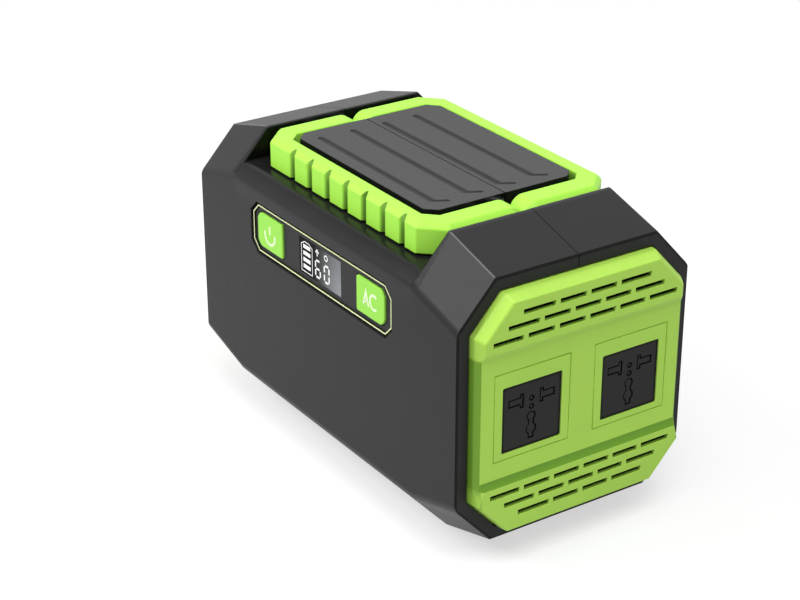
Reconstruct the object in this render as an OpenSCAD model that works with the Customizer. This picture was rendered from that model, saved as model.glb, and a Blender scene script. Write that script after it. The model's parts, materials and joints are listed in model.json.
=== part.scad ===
// Portable power station. Millimetres, +Z up, +X towards the AC socket end, -Y towards the controls.
// The origin is on the ground, under the middle of the body.

/* [Body] */
// Distance between the two flat end rims
body_l = 261; // [255:1:275]
// Width of the body
body_w = 150; // [146:1:158]
// Height of the body, without its feet
body_h = 173; // [170:1:180]
// Fall of the top, and rise of the bottom, from a ridge to its rim
end_drop = 11; // [8:0.5:12]
// Width of the long corner chamfers
corner_w = 23; // [20:0.5:25]
// Height of the long corner chamfers
corner_h = 25; // [22:0.5:27]
// Wall of the two shells
wall = 3; // [2.5:0.25:3.5]
// Open seam between the two shells
seam_gap = 0.3; // [0.1:0.1:0.5]

/* [Recess and pad] */
// Flat land on a shoulder between its ridge and the recess
ridge_land = 1.5; // [1:0.5:2]
// Depth of the handle recess below the ridges
recess_depth = 18; // [17:0.5:19]
// Radius where the recess floor rolls into the front and the back
recess_edge_r = 10; // [7:0.5:12]
// Corner cut of the pad
pad_cut = 6; // [4:0.5:8]
// Height of the pad above the recess floor
pad_rise = 19; // [18:0.5:20]
// Distance from a groove's end to the end of the pad
groove_end = 12; // [10:0.5:20]
// Width of a groove in the pad
groove_w = 2.4; // [2:0.2:4]
// Depth of a groove in the pad
groove_depth = 0.8; // [0.4:0.1:1.2]
// Distance from groove to groove
groove_pitch = 21.5; // [19:0.5:22]
// Sideways shift of the row of grooves
groove_shift = -5.8; // [-7:0.1:-4]
// Length of the turned end of a groove
hook_l = 8; // [5:0.5:9]

/* [Handles] */
// Length over both arms of a handle
handle_l = 171; // [168:1:174]
// Width over the two folded handles
handles_w = 121.4; // [119:0.2:124]
// Width of the grip bar
grip_w = 10; // [9:0.25:10.5]
// Width of an arm
arm_w = 15; // [13:0.5:16]
// Height of a handle
handle_h = 17; // [16:0.5:17]
// Outer corner cut of a handle
handle_cut = 12.5; // [10:0.5:14]
// Inner corner cut of a handle
inner_cut = 6.5; // [5:0.5:8]
// Bevel along the outer upper edge of a handle
handle_bevel = 2.6; // [1.5:0.1:3]
// Number of grooves across the grip bar
grip_count = 7; // [5:1:7]
// Distance from grip groove to grip groove
grip_pitch = 18.2; // [15:0.1:18.5]
// Shift of the row of grip grooves towards the AC sockets
grip_shift = 5.6; // [0:0.2:6]
// Width of a grip groove at its mouth
grip_groove_w = 5.4; // [4:0.2:6]
// Width of a grip groove at its floor
grip_groove_floor = 0.6; // [0.4:0.1:1]
// Depth of a grip groove
grip_groove_depth = 3.2; // [2.9:0.1:4]
// Gap between the two handles when they stand upright
handle_gap = 0.4; // [0.3:0.1:0.8]
// Gap between a folded handle and the recess floor
floor_gap = 1; // [0.6:0.1:1]
// Gap between an arm and the end of the recess
end_gap = 4; // [3:0.25:6]
// Gap between an arm and the pad
arm_gap = 3.5; // [2.5:0.25:5]
// Gap between a grip bar and the pad
grip_gap = 2.7; // [2:0.1:4]
// Radius of a hinge pin
pin_r = 2.5; // [2:0.1:3]
// Running clearance of a handle on its pin
pin_clear = 0.1; // [0.05:0.01:0.1]
// Depth of a hinge pin in the shell at each end
pin_grip = 5; // [4:0.5:6]

/* [Controls] */
// Depth of the middle of the controls below the body's top
control_z = 48.8; // [48:0.2:52]
// Length of the control bezel
control_l = 144; // [140:0.5:148]
// Height of the control bezel
control_h = 31; // [28.5:0.1:32]
// Corner cut of the control bezel
control_cut = 6.5; // [4:0.5:7]
// Depth of the bezel face below the front
control_sink = 1.8; // [1:0.1:2]
// Thickness of the bezel's flange behind the front
flange_t = 1.6; // [1.2:0.1:2]
// Width of the pale trim line
trim_w = 0.9; // [0.6:0.1:1.2]
// Distance of the trim line from the bezel's edge
trim_inset = 0.7; // [0.5:0.1:0.9]
// Length of a button
button_l = 27; // [24:0.5:28]
// Height of a button
button_h = 20.8; // [18:0.2:21]
// Cut of a button's outer corners
button_cut = 3.2; // [3:0.1:7]
// Distance of a button from the end of the bezel, without the shift
button_x = 6.9; // [5.5:0.1:7.5]
// Shift of the buttons and the display towards the port end
control_shift = 0.8; // [0:0.1:1]
// Rise of a button above the bezel
button_rise = 1.2; // [1.1:0.1:1.2]
// Travel of a button
button_travel = 1; // [0.6:0.1:1]
// Clearance round a button
button_gap = 0.3; // [0.25:0.05:0.4]
// Length of the display window
display_l = 42.6; // [38:0.2:43]
// Height of the display window
display_h = 20.8; // [18:0.2:21]

/* [End panels] */
// Width of the dark rim round an end panel
rim_w = 8; // [7.5:0.25:9]
// Gap between an end panel and its rim
panel_gap = 0.8; // [0.4:0.1:1]
// Rise of the vent faces above the rim
panel_rise = 9.3; // [8.8:0.1:10]
// Straight side of an end panel above the rim, below its bevel
panel_side = 3.5; // [2:0.25:4]
// Bevel of an end panel
panel_bevel = 3.1; // [2:0.1:3.5]
// Bevel that is left along an end panel's lower edges
panel_low_bevel = 0.8; // [0.4:0.1:1.5]
// Depth of the middle face below the vent faces
middle_sink = 2.5; // [2:0.1:3]
// Height of the flat middle face
middle_h = 69.6; // [66:0.2:71]
// Height of the slope between the middle face and a vent face
middle_step = 3.9; // [3:0.1:4.5]
// Thickness of an end panel's plate
panel_t = 3; // [2.5:0.25:3.2]
// Height of a vent slot
vent_h = 2.9; // [2:0.1:3.2]
// Distance from slot to slot along a row
vent_pitch = 19.65; // [19:0.05:19.8]
// Bar between two slots of a row
vent_bar = 3.1; // [2.5:0.1:4]
// Distance from row to row
row_pitch = 6.95; // [6:0.05:7]
// Distance of the first row from the edge of the panel
row_first = 23.6; // [23:0.1:24.5]
// Half the length of the first row
row_half = 59.4; // [58.5:0.1:59.6]
// How much shorter each next row is at each end
row_step = 9.1; // [8.8:0.1:9.4]

/* [AC sockets] */
// Side of a socket insert
socket_w = 37.6; // [36:0.2:39]
// Corner radius of a socket insert
socket_r = 1; // [0.5:0.25:3]
// Distance of a socket from the middle of the panel
socket_y = 32.2; // [31.5:0.1:33]
// Depth of a socket's middle below the middle of the panel
socket_drop = 2.4; // [1.5:0.1:3]
// Depth of a socket insert behind the middle face
socket_depth = 25; // [24:0.5:27]
// Depth of a socket's face below the middle face
socket_sink = 0.5; // [0.3:0.1:0.7]
// Width of the fine outline round a socket
outline_w = 48.8; // [47.5:0.1:50]
// Height of the fine outline round a socket
outline_h = 50.5; // [49:0.1:52]
// Width and depth of the fine outline
outline_cut = 0.6; // [0.4:0.1:0.8]
// Outer end of a live slot from the socket's middle
live_out = 14.8; // [14.4:0.1:15]
// Height of a live slot
live_h = 4.6; // [4.4:0.1:5]
// Place of a live slot's upright part from the socket's middle
blade_y = 6.35; // [6:0.05:6.6]
// Height of a live slot's upright part
blade_h = 8.4; // [8:0.1:9]
// Width of a live slot's upright part
blade_w = 2.6; // [2.2:0.1:3]
// Height of the live slots above the socket's middle
live_z = 8.3; // [8:0.1:8.6]
// Radius of the upper, round end of the earth slot
earth_r = 2.9; // [2.6:0.1:3]
// Radius of the wide part of the earth slot
earth_wide_r = 3.4; // [3.3:0.1:3.6]
// Width of the narrow foot of the earth slot
earth_foot_w = 3.8; // [3.4:0.1:4]
// Depth of the socket's slots
slot_depth = 18; // [17:0.5:18.5]

/* [Ports] */
// Distance from the middle of the panel to the middle of the USB ports
usb_y = 34; // [32:0.5:36]
// Distance from one USB port to the other
usb_pitch = 18; // [16:0.5:20]
// Width of a USB port
usb_w = 14; // [13.5:0.1:14.5]
// Height of a USB port
usb_h = 7; // [6.8:0.1:7.4]
// Distance from the middle of the panel to the middle of the two DC jacks
dc_y = 6; // [4:0.5:8]
// Distance from one DC jack to the other
dc_pitch = 20; // [18:0.5:22]
// Outer radius of a DC jack
dc_r = 5.5; // [5:0.1:6]
// Bore radius of a DC jack
dc_bore_r = 3; // [2.8:0.1:3.2]
// Distance from the middle of the panel to the charge inlet
inlet_y = 38; // [36:0.5:40]
// Outer radius of the charge inlet
inlet_r = 8; // [7:0.1:9]
// Bore radius of the charge inlet
inlet_bore_r = 4.2; // [4:0.1:4.6]

/* [Fan] */
// Side of the fan
fan_w = 40; // [38:0.5:40]
// Thickness of the fan
fan_t = 12; // [10:0.5:13]
// Room between the fan and the upper edge of its panel
fan_up = 9.1; // [8:0.1:9.1]
// Distance between the fan's screws
fan_pitch = 32; // [30:0.5:32]
// Gap between the blades and the fan's ring
blade_gap = 0.8; // [0.5:0.1:1.2]
// Number of blades
blade_count = 7; // [5:1:9]

/* [Battery] */
// Cells along the body
cells_x = 6; // [4:2:6]
// Cells across the body
cells_y = 5; // [3:2:5]
// Radius of a cell
cell_r = 9.1; // [9:0.05:9.2]
// Length of a cell
cell_h = 65; // [60:1:65]
// Distance from cell to cell
cell_pitch = 20.2; // [19.6:0.1:20.4]
// Thickness of a cell holder
holder_t = 7; // [6:0.5:8]

/* [Boards and power parts] */
// Thickness of the circuit boards
board_t = 1.6; // [1.2:0.1:2]
// Length of the inverter board
inverter_l = 180; // [160:1:184]
// Height of the inverter board above the battery board
inverter_z = 6.8; // [6:0.2:12]
// Depth of a board edge in its rail
rail_bite = 5; // [3:0.5:6]
// Thickness of a rail
rail_t = 3; // [2:0.5:3]
// Height of the heat sink
sink_h = 38; // [30:1:40]
// Number of fins on the heat sink
fin_count = 7; // [5:1:8]
// Radius of a capacitor
cap_r = 8; // [6:0.5:8]
// Height of a capacitor
cap_h = 30; // [24:1:34]

/* [Feet and screws] */
// Height of a foot below the body
foot_h = 1.5; // [1:0.25:3]
// Radius of a foot
foot_r = 9; // [7:0.5:11]
// Distance between the feet along the body
foot_l = 130; // [110:1:150]
// Distance between the feet across the body
foot_w = 72; // [60:1:76]
// Radius of a case screw's thread
screw_r = 1.5; // [1.4:0.05:1.7]
// Radius of a case screw's head
head_r = 2.9; // [2.7:0.1:3]
// Clearance of a screw or pin in a fixed hole
hole_clear = 0.05; // [0.03:0.01:0.1]

/* [Hidden] */
$fn = 64;
eps = 0.02;

// How far a cutter runs past a face
over = 1;
// Room round a screw that passes through a piece, and before its tip
through_clear = 0.2;
tip_gap = 2;
// Heads of the small board screws
small_head_r = 2.4;
small_head_h = 1.6;

// Main places
rim_x = body_l / 2;
recess_x = handle_l / 2 + end_gap;
ridge_x = recess_x + ridge_land;
side_y = body_w / 2;
base_z = foot_h;
mid_z = base_z + body_h / 2;
ridge_hh = body_h / 2;
rim_hh = ridge_hh - end_drop;
floor_z = base_z + body_h - recess_depth;
edge_y = side_y - recess_edge_r;
pad_z = floor_z + pad_rise;
pad_l = handle_l - 2 * (arm_w + arm_gap);
pad_w = handles_w - 2 * (grip_w + grip_gap);
groove_l = pad_l - 2 * groove_end;

// How fast a corner cut shrinks when the body's outline moves in
corner_turn = corner_w + corner_h - sqrt(corner_w * corner_w + corner_h * corner_h);

// Handles
pivot_y = handle_h / 2 + handle_gap / 2;
pivot_z = floor_z + floor_gap + handle_h / 2;
handle_z = floor_z + floor_gap;

// Controls, measured along Y from the front
front_y = -side_y;
bezel_y = front_y + control_sink;
bezel_back = front_y + wall + flange_t;
flange_w = 3;
control_mid = base_z + body_h - control_z;
cap_flange_w = 1.5;
cap_flange_t = 1.2;
cap_slack = 0.1;
switch_t = 4;
switch_gap = 0.8;
switch_w = 12;
switch_y = bezel_back + cap_slack + cap_flange_t + button_travel + switch_gap;
board_y = switch_y + switch_t;
button_mid = control_l / 2 - button_x - button_l / 2;
module_border = 1.5;
post_r = 2.2;
post_x = (display_l / 2 + module_border + button_mid - button_l / 2 - cap_flange_w) / 2;
posts_x = [-control_shift - post_x, -control_shift + post_x];
post_z = 8;
plunger_r = 1.6;
plunger_in = 0.8;
switch_floor = 0.8;
board_inset = 0.5;
board_screw_r = 1.2;

// End panels
panel_x = rim_x + panel_rise;
panel_hh = rim_hh - rim_w;
middle_x = panel_x - middle_sink;
plate_x = middle_x - panel_t;
panel_flange_w = 3;
panel_flange_t = 2.6;
panel_slack = 0.1;
panel_flange_x = rim_x - wall - panel_slack;
panel_back_x = panel_flange_x - panel_flange_t;

// Sockets and ports
socket_z = mid_z - socket_drop;
socket_flange_w = 49;
socket_flange_t = 2.5;
socket_body_w = 34;
socket_fit = 0.2;
socket_screw_out = 21.5;
socket_screw_in = 2;
socket_face = middle_x - socket_sink;
socket_back = middle_x - socket_depth;
contact_l = 9;
contact_fit = 0.1;
earth_top_z = -2.2;
earth_wide_z = -9.6;
earth_foot_z = -15.1;
dot_r = 1.7;
dot_low_z = 3.5;
port_depth = 16;
port_sink = 0.6;
port_board_x = middle_x - port_depth;
port_boss_y = 20;
port_boss_z = 14.5;
port_board_h = 36;
fan_port_gap = 0.4;
port_board_l = 110;
port_boss_r = 3;
dc_spots = [dc_y, dc_y - dc_pitch];
dc_core_r = 1;
inlet_core_r = 1.3;

// Fan
fan_z = mid_z + panel_hh - fan_up - fan_w / 2;
port_mid = fan_z - fan_w / 2 - fan_port_gap - port_board_h / 2;
fan_boss_h = 1;
fan_rim = 1.5;
fan_strut_t = 2;
fan_screw_in = 1;
shaft_short = 3;
rotor_short = 1;
hub_cap = 1;
fan_x = plate_x - fan_boss_h;
fan_r = fan_w / 2 - fan_rim;
hub_r = 9;
shaft_r = 1.5;
fan_screw_r = 1.4;
fan_boss_r = 2.8;

// Battery
holder_floor = 1.6;
holder_border = 2;
holder_side_gap = 0.1;
holder_l = cells_x * cell_pitch + 2 * holder_border;
holder_w = cells_y * cell_pitch;
// The holder stands on the floor, or on the corner chamfers where the floor is too narrow for it
floor_half = side_y - wall - cut_w(wall);
holder_over = holder_w / 2 + holder_side_gap - floor_half;
holder_low = base_z + wall + max(0, holder_over) * cut_h(wall) / cut_w(wall);
cell_bottom = holder_low + holder_floor;
cell_top = cell_bottom + cell_h;
strap_t = 0.4;
strap_w = 8;
strap_fit = 0.3;
holder_cell_gap = 0.25;
rail_y = side_y - wall;
board_end_gap = 1;
board_reach = 2 * (rail_y - board_end_gap);
bms_post_h = 6;
bms_over_x = 15;
bms_over_y = 6;
bms_z = cell_top + bms_post_h;
bms_post_x = (cells_x / 2 - 1) * cell_pitch;
bms_post_y = (cells_y / 2 - 1) * cell_pitch;
bms_l = 2 * bms_post_x + 2 * bms_over_x;
bms_w = 2 * bms_post_y + 2 * bms_over_y;
bms_post_r = 3;

// Inverter
inverter_low = bms_z + board_t + inverter_z;
inverter_top = inverter_low + board_t;
sink_l = 96;
sink_w = 30;
sink_inset = 16;
fin_t = 2;
sink_base_t = 4;
core_l = 42;
core_w = 34;
core_h = 36;
core_leg = 6;
core_yoke = 8;
coil_gap = 0.3;
coil_out = 8;
core_x = -10;
core_y = -25;
sink_y = board_reach / 2 - sink_inset - sink_w / 2;

// Case screws: places along X and Z, and the web that each head pulls on
boss_r = 4.5;
boss_inset = 27.5;
boss_up = 38;
boss_down = 39;
boss_side_gap = 8;
boss_side_drop = 61;
boss_end_x = rim_x - boss_inset;
boss_side_x = control_l / 2 + flange_w + boss_side_gap;
boss_spots = [
  for (side = [-1, 1])
    each [
      [side * boss_end_x, base_z + boss_up],
      [side * boss_end_x, base_z + body_h - boss_down],
      [side * boss_side_x, base_z + body_h - boss_side_drop]
    ]
];
web_y = 12;
screw_end = -16;
head_h = 2.5;

// Shared outlines

// Points of an octagon: half width, half height, and the width and height of its corner cuts
function octagon(hw, hh, cw, ch) = [
  [-hw + cw, hh], [hw - cw, hh], [hw, hh - ch], [hw, -hh + ch],
  [hw - cw, -hh], [-hw + cw, -hh], [-hw, -hh + ch], [-hw, hh - ch]
];

// Width and height of a corner cut when the body's outline moves in by a distance
function cut_w(inset) = corner_w - inset * corner_turn / corner_h;
function cut_h(inset) = corner_h - inset * corner_turn / corner_w;

// Octagonal slab across X, of the body's outline with a given half height, moved in by a distance
module slab(x0, x1, hh, inset) {
  outline_x(octagon(side_y - inset, hh - inset, cut_w(inset), cut_h(inset)), x0, x1);
}

// Outline across Y and Z, measured from the body's mid height, between two places along X
module outline_x(points, x0, x1) {
  translate([x0, 0, mid_z])
    rotate([90, 0, 90])
      linear_extrude(x1 - x0)
        polygon(points);
}

// The body as one convex solid, moved in by a distance
module body_solid(inset) {
  end_x = rim_x - inset;
  end_hh = ridge_hh - end_drop * (end_x - ridge_x) / (rim_x - ridge_x);
  hull() {
    slab(-ridge_x, ridge_x, ridge_hh, inset);
    slab(end_x - eps, end_x, end_hh, inset);
    slab(-end_x, -end_x + eps, end_hh, inset);
  }
}

// Space of the handle recess, with its floor and ends moved into the body by a distance
module recess_space(inset) {
  hx = recess_x + inset;
  low = floor_z - inset;
  translate([-hx, -body_w, low])
    cube([2 * hx, 2 * body_w, body_h]);
  for (side = [-1, 1])
    difference() {
      translate([-hx, side > 0 ? edge_y : -edge_y - body_w, floor_z - recess_edge_r])
        cube([2 * hx, body_w, body_h]);
      translate([-hx - over, side * edge_y, floor_z - recess_edge_r])
        rotate([0, 90, 0])
          cylinder(h = 2 * hx + 2 * over, r = recess_edge_r - inset);
    }
}

// Pad block, from below the recess floor up to a height, moved in by a distance
module pad_block(inset, top) {
  translate([0, 0, floor_z - wall - over])
    linear_extrude(top - floor_z + wall + over)
      polygon(octagon(pad_l / 2 - inset, pad_w / 2 - inset, pad_cut, pad_cut));
}

// One groove of the pad, with its turned end
module pad_groove() {
  start_x = -groove_l / 2;
  end_x = groove_l / 2;
  hook_angle = 60;
  translate([start_x, -groove_w / 2, 0])
    cube([groove_l, groove_w, groove_depth + over]);
  for (x = [start_x, end_x])
    translate([x, 0, 0])
      cylinder(h = groove_depth + over, r = groove_w / 2);
  translate([end_x, 0, 0])
    rotate([0, 0, hook_angle]) {
      translate([0, -groove_w / 2, 0])
        cube([hook_l, groove_w, groove_depth + over]);
      translate([hook_l, 0, 0])
        cylinder(h = groove_depth + over, r = groove_w / 2);
    }
}

// The four grooves of the pad
module pad_grooves() {
  for (i = [-1.5:1.5])
    translate([0, groove_shift + groove_pitch * i, pad_z - groove_depth])
      pad_groove();
}

// Cylinder along Y between two places
module rod_y(x, z, y0, y1, r) {
  translate([x, y1, z])
    rotate([90, 0, 0])
      cylinder(h = y1 - y0, r = r);
}

// Cylinder along X between two places
module rod_x(y, z, x0, x1, r) {
  translate([x0, y, z])
    rotate([0, 90, 0])
      cylinder(h = x1 - x0, r = r);
}

// Box across X and Z, centred, between two places along Y
module box_y(x, z, w, h, y0, y1) {
  translate([x - w / 2, y0, z - h / 2])
    cube([w, y1 - y0, h]);
}

// Box across Y and Z, centred, between two places along X
module box_x(y, z, w, h, x0, x1) {
  translate([x0, y - w / 2, z - h / 2])
    cube([x1 - x0, w, h]);
}

// Outline across X and Z, extruded between two places along Y
module outline_y(points, x, z, y0, y1) {
  translate([x, y1, z])
    rotate([90, 0, 0])
      linear_extrude(y1 - y0)
        polygon(points);
}

// Shells

// Rail that holds the edge of a board of a given thickness, on the front wall
module board_rail(low, thickness, length) {
  reach = rail_y - rail_bite;
  slack = 0.1;
  for (z = [low - slack - rail_t, low + thickness + slack])
    translate([-length / 2, -rail_y - wall / 2, z])
      cube([length, rail_y - reach + wall / 2, rail_t]);
}

// Rib that holds an end panel's flange from behind, at the socket end
module panel_rib() {
  rib_t = 2;
  rib_back = 1;
  x1 = panel_back_x - panel_slack;
  difference() {
    intersection() {
      slab(x1 - rib_t, x1, ridge_hh, 0);
      body_solid(wall / 2);
    }
    slab(x1 - rib_t - over, x1 + over, rim_hh, rim_w + rib_back);
  }
}

// The half of the body on the control side, without its control opening
module half_shell() {
  intersection() {
    difference() {
      union() {
        difference() {
          union() {
            difference() {
              body_solid(0);
              recess_space(0);
            }
            pad_block(0, pad_z);
          }
          difference() {
            body_solid(wall);
            recess_space(wall);
          }
          pad_block(wall, pad_z - wall);
        }
        panel_rib();
        mirror([1, 0, 0]) panel_rib();
        board_rail(inverter_low, board_t, inverter_l);
        board_rail(cell_top - holder_t, holder_t, holder_l);
        for (spot = boss_spots)
          rod_y(spot[0], spot[1], -side_y + wall / 2, 0, boss_r);
      }
      for (side = [-1, 1]) {
        slab(side * rim_x - wall - over, side * rim_x + wall + over, rim_hh, rim_w - panel_gap);
        pin_x = (recess_x + pad_l / 2) / 2 * side;
        pin_half = (recess_x - pad_l / 2) / 2 + pin_grip;
        rod_x(-pivot_y, pivot_z, pin_x - pin_half, pin_x + pin_half, pin_r + hole_clear);
      }
      for (x = [-foot_l / 2, foot_l / 2])
        translate([x, -foot_w / 2, base_z - over])
          cylinder(h = wall / 2 + over, r = foot_r + hole_clear);
    }
    translate([-body_l, -body_w, -1])
      cube([2 * body_l, body_w - seam_gap / 2, 2 * body_h]);
  }
}

// Octagon of the bezel, grown by a distance
function bezel_points(grow) =
  octagon(control_l / 2 + grow, control_h / 2 + grow, control_cut, control_cut);

module front_shell() {
  fit = 0.3;
  color("#454545")
    difference() {
      half_shell();
      pad_grooves();
      outline_y(bezel_points(fit), 0, control_mid, front_y - over, front_y + wall + over);
      for (spot = boss_spots)
        rod_y(spot[0], spot[1], screw_end - tip_gap, over, screw_r + hole_clear);
    }
}

module back_shell() {
  head_clear = 0.5;
  access_r = head_r + head_clear;
  color("#454545")
    difference() {
      mirror([0, 1, 0]) half_shell();
      pad_grooves();
      for (spot = boss_spots) {
        rod_y(spot[0], spot[1], -over, web_y + over, screw_r + through_clear);
        rod_y(spot[0], spot[1], web_y, side_y + over, access_r);
      }
    }
}

module case_screws() {
  color("#9a9a9a")
    for (spot = boss_spots) {
      rod_y(spot[0], spot[1], screw_end, web_y, screw_r);
      rod_y(spot[0], spot[1], web_y, web_y + head_h, head_r);
    }
}

module rubber_feet() {
  color("#202020")
    for (x = [-foot_l / 2, foot_l / 2], y = [-foot_w / 2, foot_w / 2])
      translate([x, y, 0])
        cylinder(h = base_z + wall / 2, r = foot_r);
}

// Handles

// Cutter that bevels the upper edge from one point of an outline to the next
module edge_bevel(from, to) {
  edge = to - from;
  length = norm(edge);
  past = handle_bevel;
  translate([from[0], from[1], handle_z + handle_h])
    rotate([0, 0, atan2(edge[1], edge[0])])
      rotate([45, 0, 0])
        translate([-past, -handle_bevel, -handle_bevel / sqrt(2)])
          cube([length + 2 * past, 2 * handle_bevel, sqrt(2) * handle_bevel]);
}

// Round end of an arm, with its outer edge bevelled; side is -1 or 1
module knuckle(side) {
  round_r = handle_h / 2;
  straight = arm_w - handle_bevel;
  translate([side * (handle_l / 2 - arm_w), -pivot_y, pivot_z])
    rotate([0, side * 90, 0]) {
      cylinder(h = straight, r = round_r);
      translate([0, 0, straight])
        cylinder(h = handle_bevel, r1 = round_r, r2 = round_r - handle_bevel);
    }
}

// Cutter of one grip groove, with its mouth on the grip's outer face
module grip_groove() {
  floor_half = grip_groove_floor / 2;
  slant = (grip_groove_w / 2 - floor_half) / grip_groove_depth;
  wide = grip_groove_w / 2 + over * slant;
  translate([0, -handles_w / 2, handle_z - over])
    linear_extrude(handle_h + 2 * over)
      polygon([
        [-wide, -over], [wide, -over],
        [floor_half, grip_groove_depth], [-floor_half, grip_groove_depth]
      ]);
}

// U-shaped handle on the control side, folded flat
module handle() {
  hx = handle_l / 2;
  hy = handles_w / 2;
  ix = hx - arm_w;
  iy = hy - grip_w;
  outer = [
    [-hx, -pivot_y], [-hx, -hy + handle_cut], [-hx + handle_cut, -hy],
    [hx - handle_cut, -hy], [hx, -hy + handle_cut], [hx, -pivot_y]
  ];
  inner = [
    [ix, -pivot_y], [ix, -iy + inner_cut], [ix - inner_cut, -iy],
    [-ix + inner_cut, -iy], [-ix, -iy + inner_cut], [-ix, -pivot_y]
  ];
  difference() {
    union() {
      difference() {
        translate([0, 0, handle_z])
          linear_extrude(handle_h)
            polygon(concat(outer, inner));
        for (i = [0:len(outer) - 2])
          edge_bevel(outer[i], outer[i + 1]);
      }
      knuckle(-1);
      knuckle(1);
    }
    for (i = [0:grip_count - 1])
      translate([grip_shift + (i - (grip_count - 1) / 2) * grip_pitch, 0, 0])
        grip_groove();
    rod_x(-pivot_y, pivot_z, -hx - over, hx + over, pin_r + pin_clear);
  }
}

module front_handle() {
  color("#8fe23c") handle();
}

module back_handle() {
  color("#8fe23c") mirror([0, 1, 0]) handle();
}

// The two pins of one handle
module hinge_pins(side) {
  for (end = [-1, 1]) {
    pin_x = end * (recess_x + pad_l / 2) / 2;
    pin_half = (recess_x - pad_l / 2) / 2 + pin_grip;
    color("#b5b5b5")
      rod_x(side * pivot_y, pivot_z, pin_x - pin_half, pin_x + pin_half, pin_r);
  }
}

module front_hinge_pins() {
  hinge_pins(-1);
}

module back_hinge_pins() {
  hinge_pins(1);
}

// Controls

// Place of a button along the body; side is -1 or 1
function button_at(side) = side * button_mid - control_shift;

// Outline of a button cap with its outer corners cut, grown by a distance; side is -1 or 1
function cap_points(side, grow) = [
  [side * (-button_l / 2 - grow), button_h / 2 + grow],
  [side * (button_l / 2 + grow - button_cut), button_h / 2 + grow],
  [side * (button_l / 2 + grow), button_h / 2 + grow - button_cut],
  [side * (button_l / 2 + grow), -button_h / 2 - grow + button_cut],
  [side * (button_l / 2 + grow - button_cut), -button_h / 2 - grow],
  [side * (-button_l / 2 - grow), -button_h / 2 - grow]
];

module control_bezel() {
  lens_fit = 0.15;
  trim_depth = 0.5;
  color("#2c2f2a")
    difference() {
      union() {
        outline_y(bezel_points(0), 0, control_mid, bezel_y, bezel_back);
        outline_y(bezel_points(flange_w), 0, control_mid, front_y + wall, front_y + wall + flange_t);
        for (x = posts_x, z = [-post_z, post_z])
          rod_y(x, control_mid + z, bezel_back - over, board_y, post_r);
      }
      for (side = [-1, 1])
        outline_y(cap_points(side, button_gap), button_at(side), control_mid, bezel_y - over, board_y);
      box_y(-control_shift, control_mid, display_l + 2 * lens_fit, display_h + 2 * lens_fit,
            bezel_y - over, board_y);
      difference() {
        outline_y(bezel_points(-trim_inset), 0, control_mid, bezel_y - over, bezel_y + trim_depth);
        outline_y(bezel_points(-trim_inset - trim_w), 0, control_mid, bezel_y - 2 * over, bezel_y + over);
      }
      for (x = posts_x, z = [-post_z, post_z])
        rod_y(x, control_mid + z, bezel_back + tip_gap - over, board_y + over, board_screw_r + hole_clear);
    }
}

module bezel_trim() {
  proud = 0.2;
  seat = 0.5;
  slack = 0.05;
  color("#cfe08a")
    difference() {
      outline_y(bezel_points(-trim_inset - slack), 0, control_mid, bezel_y - proud, bezel_y + seat);
      outline_y(bezel_points(-trim_inset - trim_w + slack), 0, control_mid, bezel_y - over, bezel_y + over);
    }
}

module display_lens() {
  color("#101214")
    box_y(-control_shift, control_mid, display_l, display_h, bezel_y, bezel_back);
}

module display_module() {
  color("#3a3d40")
    box_y(-control_shift, control_mid, display_l + 2 * module_border, display_h + 2 * module_border,
          bezel_back, board_y);
}

// Button cap with its flange behind the bezel and its plunger
module button(side) {
  edge = 0.8;
  face_y = bezel_y - button_rise;
  flange_y = bezel_back + cap_slack;
  plunger_end = switch_y + plunger_in;
  color("#86dc3e") {
    outline_y(cap_points(side, -edge), button_at(side), control_mid, face_y, face_y + edge);
    outline_y(cap_points(side, 0), button_at(side), control_mid, face_y + edge, flange_y);
    outline_y(cap_points(side, cap_flange_w), button_at(side), control_mid,
              flange_y, flange_y + cap_flange_t);
    rod_y(button_at(side), control_mid, flange_y, plunger_end, plunger_r);
  }
}

module power_button() {
  button(-1);
}

module ac_button() {
  button(1);
}

module control_switches() {
  guide_clear = 0.3;
  color("#303030")
    for (side = [-1, 1])
      difference() {
        box_y(button_at(side), control_mid, switch_w, switch_w, switch_y, board_y);
        rod_y(button_at(side), control_mid, switch_y - over, board_y - switch_floor,
              plunger_r + guide_clear);
      }
}

module control_board() {
  length = 2 * button_mid + button_l;
  height = control_h - 2 * board_inset;
  color("#1d5a2c")
    difference() {
      box_y(-control_shift, control_mid, length, height, board_y, board_y + board_t);
      for (x = posts_x, z = [-post_z, post_z])
        rod_y(x, control_mid + z, board_y - over, board_y + board_t + over, board_screw_r + through_clear);
    }
}

module board_screws() {
  back = board_y + board_t;
  color("#b0b0b0")
    for (x = posts_x, z = [-post_z, post_z]) {
      rod_y(x, control_mid + z, bezel_back + tip_gap, back, board_screw_r);
      rod_y(x, control_mid + z, back, back + small_head_h, small_head_r);
    }
}

// End panels

// One block of vent rows, above (side 1) or below (side -1) the middle of the panel
module vent_rows(side) {
  counts = [6, 5, 4];
  for (row = [0:2]) {
    count = counts[row];
    z = mid_z + side * (panel_hh - row_first + row * row_pitch);
    end_y = row_half - row * row_step;
    for (i = [0:count - 1]) {
      middle = (i - (count - 1) / 2) * vent_pitch;
      y0 = i == 0 ? -end_y : middle - (vent_pitch - vent_bar) / 2;
      y1 = i == count - 1 ? end_y : middle + (vent_pitch - vent_bar) / 2;
      translate([plate_x - over, y0, z - vent_h / 2])
        cube([panel_x - plate_x + 2 * over, y1 - y0, vent_h]);
    }
  }
}

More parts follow.
